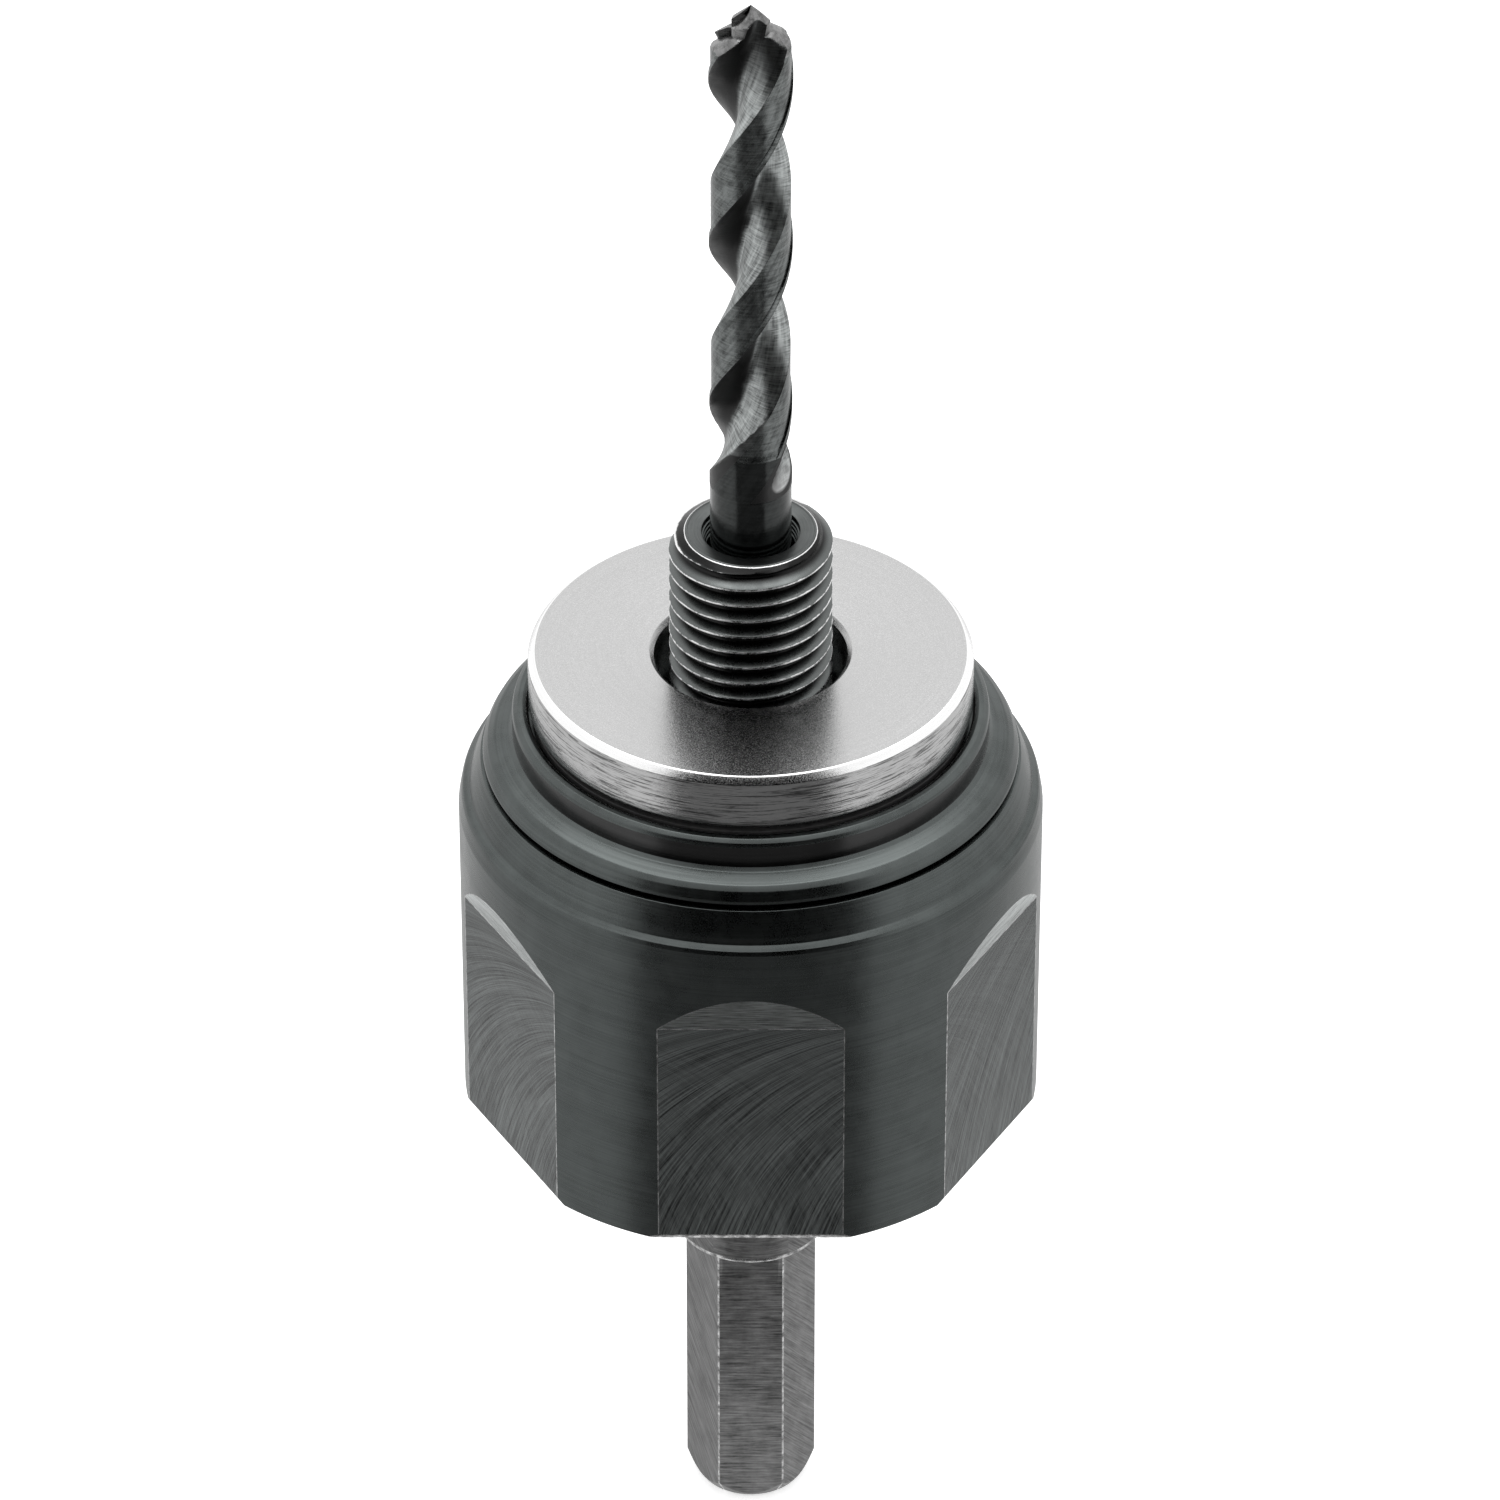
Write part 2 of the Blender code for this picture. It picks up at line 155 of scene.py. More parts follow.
def flag_points(inner, outer):
    """Corner points of a ring segment on the floor, centred on the front."""
    points = []
    there = range(SECTOR_STEPS + 1)
    for radius, order in ((outer, there), (inner, reversed(there))):
        for step in order:
            angle = math.radians(FLAG_HALF_ANGLE) * (2 * step / SECTOR_STEPS - 1)
            points.append(spot(radius, angle, FLAG_HEIGHT))
    return points


def add_curtain(material):
    """A curved dark card in front of the object, between two elevations in degrees."""
    low, high = CURTAIN_ELEVATIONS
    verts = []
    for row in range(CURTAIN_ROWS):
        rise = math.radians(low + (high - low) * row / (CURTAIN_ROWS - 1))
        away = CURTAIN_DISTANCE * math.cos(rise)
        height = CAMERA_TARGET.z + CURTAIN_DISTANCE * math.sin(rise)
        for column in range(CURTAIN_COLUMNS):
            side = 2 * column / (CURTAIN_COLUMNS - 1) - 1
            angle = math.radians(CURTAIN_HALF_ANGLE) * side
            verts.append(spot(away, angle, height))
    faces = []
    for row in range(CURTAIN_ROWS - 1):
        for column in range(CURTAIN_COLUMNS - 1):
            here = row * CURTAIN_COLUMNS + column
            above = here + CURTAIN_COLUMNS
            faces.append((here, here + 1, above + 1, above))
    show_stage("front_curtain", verts, faces, material, seen=False)


def add_softbox():
    light = bpy.data.lights.new("softbox", "AREA")
    light.shape = "SQUARE"
    light.size = SOFTBOX_SIZE
    light.energy = math.pi * SOFTBOX_RADIANCE * SOFTBOX_SIZE**2
    obj = bpy.data.objects.new("softbox", light)
    bpy.context.scene.collection.objects.link(obj)
    obj.location = SOFTBOX_SPOT
    obj.visible_camera = False


def add_studio():
    bpy.context.scene.view_settings.view_transform = "Standard"
    add_camera()
    add_world()
    floor = plain_material("floor_paper", (0.9, 0.9, 0.9), FLOOR_GLOW)
    edge = disc_points(FLOOR_RADIUS, FLOOR_HEIGHT)
    show_stage("floor", edge, [list(range(len(edge)))], floor)
    near, middle, far = FLAG_EDGES
    for name, points, glow in (
        ("floor_card", disc_points(CARD_RADIUS, CARD_HEIGHT), CARD_GLOW),
        ("floor_flag", flag_points(middle, far), FLAG_GLOW),
        ("near_flag", flag_points(near, middle), NEAR_FLAG_GLOW),
    ):
        card = plain_material(name, (0.0, 0.0, 0.0), glow)
        show_stage(name, points, [list(range(len(points)))], card, seen=False)
    add_curtain(plain_material("black_card", (0.0, 0.0, 0.0)))
    add_softbox()


# ---------------- materials

# Lathe marks run on from a face to a cylinder: how much radius counts beside height
RING_SLANT = 0.83
# Sweep of the face mill that cut the flats, and the height it was centred on
MILL_REACH = 32.0
MILL_CENTRE = 36.0
# Radii over which a flute's finish gives way to its edge's
FLUTE_RIM = (3.24, 3.34)
# Heights over which the bright crescent at a flute's foot, a painted highlight, fades, and painted
# shade darkens the flute to the tip
CRESCENT_HIGHLIGHT = (107.0, 109.5)
TIP_SHADE = (147.0, 150.0)


def plug(tree, value, socket):
    if isinstance(value, Num):
        tree.links.new(value.socket, socket)
    else:
        socket.default_value = value


def calc(tree, operation, *values, clamp=False):
    node = tree.nodes.new("ShaderNodeMath")
    node.operation = operation
    node.use_clamp = clamp
    for value, socket in zip(values, node.inputs):
        plug(tree, value, socket)
    return Num(tree, node.outputs[0])


class Num:
    """A value in a node tree. Arithmetic on it adds Math nodes."""

    def __init__(self, tree, socket):
        self.tree = tree
        self.socket = socket

    def __add__(self, other):
        return calc(self.tree, "ADD", self, other)

    def __sub__(self, other):
        return calc(self.tree, "SUBTRACT", self, other)

    def __rsub__(self, other):
        return calc(self.tree, "SUBTRACT", other, self)

    def __mul__(self, other):
        return calc(self.tree, "MULTIPLY", self, other)

    def __truediv__(self, other):
        return calc(self.tree, "DIVIDE", self, other)

    def op(self, operation, *others, clamp=False):
        return calc(self.tree, operation, self, *others, clamp=clamp)


class Finish:
    """A metal or plastic material. x, y, z and radius are in millimetres on the object."""

    def __init__(self, name, metallic=1.0):
        self.material = bpy.data.materials.new(name)
        self.material.use_nodes = True
        self.tree = self.material.node_tree
        self.shader = self.tree.nodes["Principled BSDF"]
        self.shader.inputs["Metallic"].default_value = metallic
        coordinates = self.tree.nodes.new("ShaderNodeTexCoord")
        split = self.tree.nodes.new("ShaderNodeSeparateXYZ")
        self.tree.links.new(coordinates.outputs["Object"], split.inputs[0])
        self.x, self.y, self.z = (
            Num(self.tree, output) * MM_PER_METRE for output in split.outputs
        )
        self.radius = (self.x * self.x + self.y * self.y).op("SQRT")
        self.turn = calc(self.tree, "ARCTAN2", self.x, self.y * -1)

    def noise(self, x, y, z, detail=2.0, roughness=0.5):
        join = self.tree.nodes.new("ShaderNodeCombineXYZ")
        for value, socket in zip((x, y, z), join.inputs):
            plug(self.tree, value, socket)
        node = self.tree.nodes.new("ShaderNodeTexNoise")
        node.inputs["Scale"].default_value = 1.0
        node.inputs["Detail"].default_value = detail
        node.inputs["Roughness"].default_value = roughness
        self.tree.links.new(join.outputs[0], node.inputs["Vector"])
        return Num(self.tree, node.outputs["Fac"])

    def fit(self, value, low, high, to_low=0.0, to_high=1.0, smooth=False):
        """Reads value between low and high, and stretches that to the other range, clamped."""
        node = self.tree.nodes.new("ShaderNodeMapRange")
        node.interpolation_type = "SMOOTHSTEP" if smooth else "LINEAR"
        for item, socket in zip((value, low, high, to_low, to_high), node.inputs):
            plug(self.tree, item, socket)
        return Num(self.tree, node.outputs[0])

    def blend(self, share, first, second):
        """Colour between two colours, either of them plain or a node's."""
        node = self.tree.nodes.new("ShaderNodeMix")
        node.data_type = "RGBA"
        plug(self.tree, share, node.inputs["Factor"])
        for colour, socket in ((first, node.inputs[6]), (second, node.inputs[7])):
            if isinstance(colour, Num):
                self.tree.links.new(colour.socket, socket)
            else:
                socket.default_value = (*colour, 1)
        return Num(self.tree, node.outputs[2])

    def colour(self, value):
        plug(self.tree, value, self.shader.inputs["Base Color"])

    def rough(self, value):
        plug(self.tree, value, self.shader.inputs["Roughness"])

    def bump(self, height, depth):
        """Depth is what a height of 1 stands for, in millimetres."""
        node = self.tree.nodes.new("ShaderNodeBump")
        node.inputs["Distance"].default_value = depth * MM
        plug(self.tree, height, node.inputs["Height"])
        before = self.shader.inputs["Normal"]
        if before.is_linked:
            self.tree.links.new(before.links[0].from_socket, node.inputs["Normal"])
        self.tree.links.new(node.outputs[0], before)

    def around(self):
        """Unit direction from the axis, as two values with no seam."""
        return self.x / self.radius, self.y / self.radius

    def rings(self, across, along=1.0, detail=3.0, roughness=0.6):
        """Lathe marks: fast across the profile, slow round it."""
        east, north = self.around()
        depth = (self.z + self.radius * RING_SLANT) * across
        return self.noise(east * along, north * along, depth, detail, roughness)

    def facets(self):
        """(which of the six flats, distance from its middle line in millimetres)."""
        number = (self.turn / SIXTH).op("ROUND")
        off = self.turn - number * SIXTH
        return number, self.radius * off.op("SINE")


def grey(value, warm=0.0):
    """Neutral colour with a slight cast, green below zero."""
    return (value * (1 + warm), value * (1 + 0.2 * abs(warm)), value)


def black_oxide(name, dark, light, rough=(0.3, 0.42), marks=9.0, depth=0.004, around=1.2):
    """Turned steel under black oxide: fine ring marks and faint blotches."""
    finish = Finish(name)
    rings = finish.rings(marks, around)
    blotch = finish.noise(finish.x * 0.35, finish.y * 0.35, finish.z * 0.35, 4.0, 0.6)
    grain = finish.noise(finish.x * 9, finish.y * 9, finish.z * 9, 2.0, 0.6)
    share = finish.fit(rings * 0.5 + blotch * 0.35 + grain * 0.15, 0.36, 0.64)
    finish.colour(finish.blend(share, dark, light))
    finish.rough(finish.fit(blotch * 0.6 + grain * 0.4, 0.35, 0.65, *rough))
    finish.bump(rings + grain * 0.35, depth)
    return finish.material


def thread_finish(name, root, flank, crest):
    """Black thread: painted shade in the roots, and bright steel in patches on the crests, which is
    worn steel and also a painted highlight.
    """
    finish = Finish(name)
    rings = finish.rings(6.0, 1.2)
    patch = finish.noise(finish.x * 1.1, finish.y * 1.1, finish.z * 1.1, 4.0, 0.7)
    # Roots darker than the flanks: painted shade in the thread's recesses.
    depth = finish.fit(finish.radius + rings * 0.12, 6.1, 6.75, smooth=True)
    tone_with_root_shade = finish.blend(depth, root, flank)
    # Crest tops go to bright steel in patches: worn steel, and also a painted highlight. The
    # bevel's lip and rim wear bright as well.
    top = finish.fit(finish.radius + patch * 0.2, 6.965, 7.0)
    rim_radius = BEVEL[1][0]
    bevel_level = NOSE_TOP + rim_radius * BEVEL_FALL - 0.04
    cone = (finish.z + finish.radius * BEVEL_FALL).op("GREATER_THAN", bevel_level)
    lip = finish.fit(finish.radius + patch * 0.4, 6.45, 6.55) * cone
    from_rim = (finish.radius - rim_radius).op("ABSOLUTE") - patch * 0.1
    rim = finish.fit(from_rim, 0.0, 0.04, 1.0, 0.0) * cone
    bare_and_highlight = top.op("MAXIMUM", lip).op("MAXIMUM", rim)
    finish.colour(finish.blend(bare_and_highlight, tone_with_root_shade, crest))
    finish.rough(finish.fit(patch, 0.35, 0.65, 0.22, 0.34))
    finish.bump(rings + patch * 0.5, 0.006)
    return finish.material


def worn_edge_and_highlight(name, dark, light):
    """Where the black has rubbed through to bright steel, in patches. Put on edges, rims and
    corners, it is also a painted edge highlight.
    """
    finish = Finish(name)
    patch = finish.noise(finish.x * 1.4, finish.y * 1.4, finish.z * 1.4, 4.0, 0.7)
    finish.colour(finish.blend(finish.fit(patch, 0.4, 0.62), dark, light))
    finish.rough(finish.fit(patch, 0.4, 0.62, 0.34, 0.22))
    finish.bump(patch, 0.01)
    return finish.material


def milled_flat(name, dark, light):
    """Arcs left by a large face mill across each flat."""
    finish = Finish(name, 0.78)
    number, across = finish.facets()
    from_centre = finish.z - MILL_CENTRE
    reach = (MILL_REACH * MILL_REACH - from_centre * from_centre).op("SQRT")
    arc = across + reach
    other = across - reach * 0.9
    marks = finish.noise(arc * 5.5, finish.z * 0.16, number * 7.3, 4.0, 0.75)
    cross = finish.noise(other * 2.6, finish.z * 0.12, number * 5.1 + 40.0, 3.0, 0.7)
    broad = finish.noise(arc * 0.5, finish.z * 0.05, number * 3.7, 2.0, 0.5)
    share = finish.fit(marks * 0.75 + cross * 0.12 + broad * 0.13, 0.37, 0.63)
    finish.colour(finish.blend(share, dark, light))
    finish.rough(finish.fit(marks, 0.3, 0.7, 0.3, 0.42))
    finish.bump(marks + cross * 0.25, 0.03)
    return finish.material


def brushed_runout(name, dark, light):
    """Short straight strokes where the mill leaves the surface."""
    finish = Finish(name)
    number, across = finish.facets()
    marks = finish.noise(across * 0.35, finish.z * 9.0, number * 7.3, 3.0, 0.7)
    finish.colour(finish.blend(finish.fit(marks, 0.35, 0.65), dark, light))
    finish.rough(finish.fit(marks, 0.3, 0.7, 0.26, 0.36))
    finish.bump(marks, 0.012)
    return finish.material


def bright_steel(name, level=0.62, rim=1000.0):
    """Ground steel: near mirror with fine rings and speckle. Turned streaks lie beyond the
    rim radius."""
    finish = Finish(name)
    rings = finish.rings(14.0, 0.8, 4.0, 0.7)
    grain = finish.noise(finish.x * 12, finish.y * 12, finish.z * 12, 3.0, 0.8)
    share = finish.fit(rings * 0.6 + grain * 0.4, 0.35, 0.65)
    tone = finish.blend(share, grey(level * 0.9), grey(level))
    streaks = finish.rings(6.0, 3.5, 4.0, 0.8)
    side = finish.radius.op("GREATER_THAN", rim)
    finish.colour(finish.blend(side * finish.fit(streaks, 0.52, 0.58), tone, grey(level * 0.22)))
    finish.rough(finish.fit(grain, 0.4, 0.6, 0.1, 0.3) * (1.0 - side * 0.6))
    finish.bump(rings * 0.5 + grain * 0.5, 0.009)
    finish.bump(streaks * side, 0.015)
    return finish.material


def drill_steel(name, dark, light, rough, marks, depth, shade=None, dark_land=None):
    """Steam-blackened drill: ground marks run with the flutes. In a flute, shade is the colour of
    the painted shade on its cutting side, deepening towards the tip, and dark_land the colour at
    its edge."""
    finish = Finish(name)
    twist = finish.turn - (finish.z - LAND_AT_FRONT) * (TAU / LEAD)
    east, north = twist.op("COSINE"), twist.op("SINE")
    climb = finish.z * 0.25 + finish.radius * 2.0
    along = finish.noise(east * marks, north * marks, climb, 3.0, 0.7)
    across = finish.noise(east * 1.5, north * 1.5, finish.z * 8.0 + finish.radius, 3.0, 0.7)
    patch = finish.noise(finish.x * 1.2, finish.y * 1.2, finish.z * 0.6, 3.0, 0.6)
    share = finish.fit(along * 0.3 + across * 0.4 + patch * 0.3, 0.4, 0.6)
    tone = finish.blend(share, dark, light)
    if shade:
        half_turns = (twist + math.radians(FLUTE_FROM)).op("FLOORED_MODULO", math.pi)
        off = half_turns * (180 / math.pi) - FLUTE_FROM
        # The cutting side of a flute takes the shade colour: painted shade, deepening towards the
        # tip.
        lit = finish.fit(off + patch * 14.0, 62, 98, smooth=True)
        lit = lit * finish.fit(finish.z + patch * 3.0, *TIP_SHADE, 1.0, 0.25)
        tone = finish.blend(lit, shade, tone)
        # A lighter grey at a flute's foot: a painted highlight.
        end = finish.fit(finish.z, *CRESCENT_HIGHLIGHT, 0.5, 0.0, smooth=True)
        tone = finish.blend(end, tone, grey(0.6))
        tone = finish.blend(finish.fit(finish.radius, *FLUTE_RIM), tone, dark_land)
    finish.colour(tone)
    finish.rough(finish.fit(patch, 0.35, 0.65, *rough))
    finish.bump(along * 0.5 + across * 0.5, depth)
    return finish.material


def hex_stock(name, dark, light):
    """Drawn hexagon: scratches across each flat, some on the slant."""
    finish = Finish(name, 0.75)
    number, across = finish.facets()
    level = finish.noise(across * 0.3, finish.z * 5.0, number * 7.3, 4.0, 0.75)
    slant = (finish.z + across * 1.1) * 4.0
    tilted = finish.noise(slant, across * 0.2, number * 3.1 + 20.0, 4.0, 0.75)
    front = number.op("ABSOLUTE").op("LESS_THAN", 0.5)
    marks = level * front + tilted * (1.0 - front)
    blotch = finish.noise(finish.x * 0.5, finish.y * 0.5, finish.z * 0.4, 3.0, 0.6)
    share = finish.fit(marks * 0.7 + blotch * 0.3, 0.37, 0.63)
    finish.colour(finish.blend(share, dark, light))
    finish.rough(finish.fit(blotch, 0.35, 0.65, 0.32, 0.42))
    finish.bump(marks, 0.016)
    return finish.material


def matt(name, dark, light, rough, metallic=0.0):
    finish = Finish(name, metallic)
    grain = finish.noise(finish.x * 3, finish.y * 3, finish.z * 3, 4.0, 0.6)
    finish.colour(finish.blend(finish.fit(grain, 0.35, 0.65), dark, light))
    finish.rough(finish.fit(grain, 0.35, 0.65, *rough))
    finish.bump(grain, 0.01)
    return finish.material


# ---------------- geometry, in millimetres

MERGE = 2e-7
SHORTEST_EDGE = 1e-7
# How far a piece's box may differ from its CAD node's, in metres
BOX_SLACK = 0.3 * MM


def finish_mesh(obj, crease=32.0):
    """Merges meeting points, turns faces outward, and keeps edges sharp at a crease or where
    the material changes."""
    bm = bmesh.new()
    bm.from_mesh(obj.data)
    bmesh.ops.remove_doubles(bm, verts=bm.verts, dist=MERGE)
    bmesh.ops.dissolve_degenerate(bm, edges=bm.edges, dist=SHORTEST_EDGE)
    bmesh.ops.recalc_face_normals(bm, faces=bm.faces)
    limit = math.radians(crease)
    for face in bm.faces:
        face.smooth = True
    for edge in bm.edges:
        if len(edge.link_faces) == 2:
            first, second = edge.link_faces
            same = first.material_index == second.material_index
            edge.smooth = same and edge.calc_face_angle(0.0) < limit
    bm.to_mesh(obj.data)
    bm.free()


def make(name, verts, faces, tags=None, materials=(), crease=32.0):
    mesh = bpy.data.meshes.new(name)
    mesh.from_pydata([(x * MM, y * MM, z * MM) for x, y, z in verts], [], faces)
    for material in materials:
        mesh.materials.append(material)
    if tags:
        mesh.polygons.foreach_set("material_index", tags)
    obj = bpy.data.objects.new(name, mesh)
    bpy.context.scene.collection.objects.link(obj)
    finish_mesh(obj, crease)
    return obj


def rounded(outline, arc=4):
    """Outline corners are (radius, height), with a fillet and a tag if wanted. The tag is for the
    fillet's strips, or with a fillet of 0 for the strip that starts at the corner.
    Gives (radius, height, tag of the strip that starts there)."""
    points = []
    count = len(outline)
    for index, corner in enumerate(outline):
        here = Vector(corner[:2])
        tag = corner[3] if len(corner) > 3 else 0
        if len(corner) == 2 or corner[2] == 0:
            points.append((*here, tag))
            continue
        before = (Vector(outline[index - 1][:2]) - here).normalized()
        after = (Vector(outline[(index + 1) % count][:2]) - here).normalized()
        opening = before.angle(after)
        size = corner[2]
        start = here + before * (size / math.tan(opening / 2))
        end = here + after * (size / math.tan(opening / 2))
        centre = here + (before + after).normalized() * (size / math.sin(opening / 2))
        first, last = start - centre, end - centre
        turn = first.angle_signed(last)
        for step in range(arc + 1):
            angle = -turn * step / arc
            across = first.x * math.cos(angle) - first.y * math.sin(angle)
            up = first.x * math.sin(angle) + first.y * math.cos(angle)
            points.append((*(centre + Vector((across, up))), tag if step < arc else 0))
    return points


def flat(rows):
    return [item for row in rows for item in row]


def skin(rows, closed):
    """Faces between rows of equally many points. A closed skin joins the last row to the first."""
    width = len(rows[0])
    faces = []
    for row in range(len(rows) if closed else len(rows) - 1):
        low, high = row * width, ((row + 1) % len(rows)) * width
        for step in range(width):
            after = (step + 1) % width
            faces.append((low + step, low + after, high + after, high + step))
    return faces


def lathe(name, outline, materials, steps=180, arc=4, crease=32.0, closed=True):
    """Turns an outline about Z. An open outline starts and ends on the axis."""
    angles = [TAU * step / steps for step in range(steps)]
    rows = []
    tags = []
    for radius, height, tag in rounded(outline, arc):
        rows.append([spot(radius, angle, height) for angle in angles])
        tags += [tag] * steps
    faces = skin(rows, closed)
    return make(name, flat(rows), faces, tags[: len(faces)], materials, crease)


def cut(obj, *tools):
    """Takes the tools away from obj with one exact Boolean."""
    bm = bmesh.new()
    for tool in tools:
        bm.from_mesh(tool.data)
    mesh = bpy.data.meshes.new("tool")
    bm.to_mesh(mesh)
    bm.free()
    joined = bpy.data.objects.new("tool", mesh)
    bpy.context.scene.collection.objects.link(joined)
    modifier = obj.modifiers.new("cut", "BOOLEAN")
    modifier.solver = "EXACT"
    modifier.operation = "DIFFERENCE"
    modifier.object = joined
    graph = bpy.context.evaluated_depsgraph_get()
    result = bpy.data.meshes.new_from_object(obj.evaluated_get(graph))
    obj.modifiers.clear()
    obj.data = result
    for extra in (joined, *tools):
        bpy.data.objects.remove(extra, do_unlink=True)
    finish_mesh(obj)


def place(obj, body, node):
    """Stands for the CAD node and rides its body. Stops if its size isn't the node's."""
    low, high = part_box(node)
    for axis in range(3):
        along = [vert.co[axis] for vert in obj.data.vertices]
        off = max(abs(min(along) - low[axis]), abs(max(along) - high[axis]))
        if off > BOX_SLACK:
            raise ValueError(f"{obj.name} is {off} m off its CAD node on axis {axis}")
    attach(obj, body)
    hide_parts(node)


# ---------------- spindle

# Heights and angles that several pieces share
SCREW_HEIGHT = 61.0
PIN_CIRCLE = 13.0
PIN_DEGREES = (-50, 130)

HEX_HALF = 5.0
HEX_CORNER = 5.72
HEX_TOP = 28.3
CHAMFER_ROWS = 24
# Columns of points over one flat, and with the one on its corner
FLAT_COLUMNS = 31
SIDE_COLUMNS = FLAT_COLUMNS + 1
THREAD_ROOT = 6.0
PITCH = 1.5875
# How far below the nose's foot the first thread starts at the front, in pitches
THREAD_LEAD_IN = 0.842
NOSE_FOOT = 83.5
NOSE_TOP = 101.9
# (share of the pitch, radius) from a root up to the crest, and from there over the whole thread
THREAD_RISE = (
    (0.10, 5.96),
    (0.15, 6.02),
    (0.18, 6.10),
    (0.24, 6.27),
    (0.30, 6.45),
    (0.36, 6.63),
    (0.42, 6.81),
    (0.44, 6.86),
    (0.47, 6.90),
)
THREAD_FALL = tuple((round(1 - share, 2), radius) for share, radius in reversed(THREAD_RISE))
THREAD = (*THREAD_RISE, *THREAD_FALL, (1.00, 5.94))
# The bevel on the nose's end, as its lower and upper (radius, height)
BEVEL = ((7.3, 100.9), (5.55, NOSE_TOP))
BEVEL_FALL = (BEVEL[1][1] - BEVEL[0][1]) / (BEVEL[0][0] - BEVEL[1][0])
BEVEL_SPREAD = (BEVEL[0][0] - BEVEL[1][0]) / (BEVEL[1][1] - BEVEL[0][1])
# (radius, height) of the round collar's foot, then of the turned steps up to the nose's foot
COLLAR = ((6.42, HEX_TOP), (6.55, 28.36), (6.6, 28.5), (6.6, 28.72))
TURNED_STEPS = (
    (6.6, 47.8),
    (7.3, 48.5),
    (14.6, 48.5),
    (15, 48.9),
    (15, 53.6),
    (14.6, 54),
    (10, 54),
    (10, 66.5),
    (8, 66.5),
    (8, 68.9),
    (10, 68.9),
    (10, 71.8),
    (9.6, 72.2),
    (7.9, 72.2),
    (7.9, 83.1),
    (7.5, NOSE_FOOT),
)
# The nose's end face, then the stepped mouth of the bore and the bore
END_RING = ((5.5, 101.95), (5.44, 101.98), (5.38, 101.98), (5.3, 101.92), (4.26, 101.9))
BORE = (
    (4.16, 101.86),
    (4.1, 101.75),
    (4.1, 101.45),
    (4.0, 101.4),
    (4.0, 101.1),
    (3.92, 101.05),
    (3.92, 100.75),
    (3.84, 100.7),
    (3.84, 100.4),
    (3.75, 100.35),
    (3.75, 80),
    (3.75, 56.2),
    (3.2, 55.65),
)
# The spindle's material slots
BLACKED, THREADED, STOCK, BARE_AND_HIGHLIGHT, END_FACE = range(5)


def hex_columns():
    """Angles from the front, in radians, with a narrow strip on each corner of the hexagon."""
    edge = math.acos(HEX_HALF / HEX_CORNER)
    columns = []
    for side in range(6):
        for step in range(FLAT_COLUMNS):
            columns.append(side * SIXTH - edge + 2 * edge * step / (FLAT_COLUMNS - 1))
        columns.append(side * SIXTH + SIXTH / 2)
    return columns


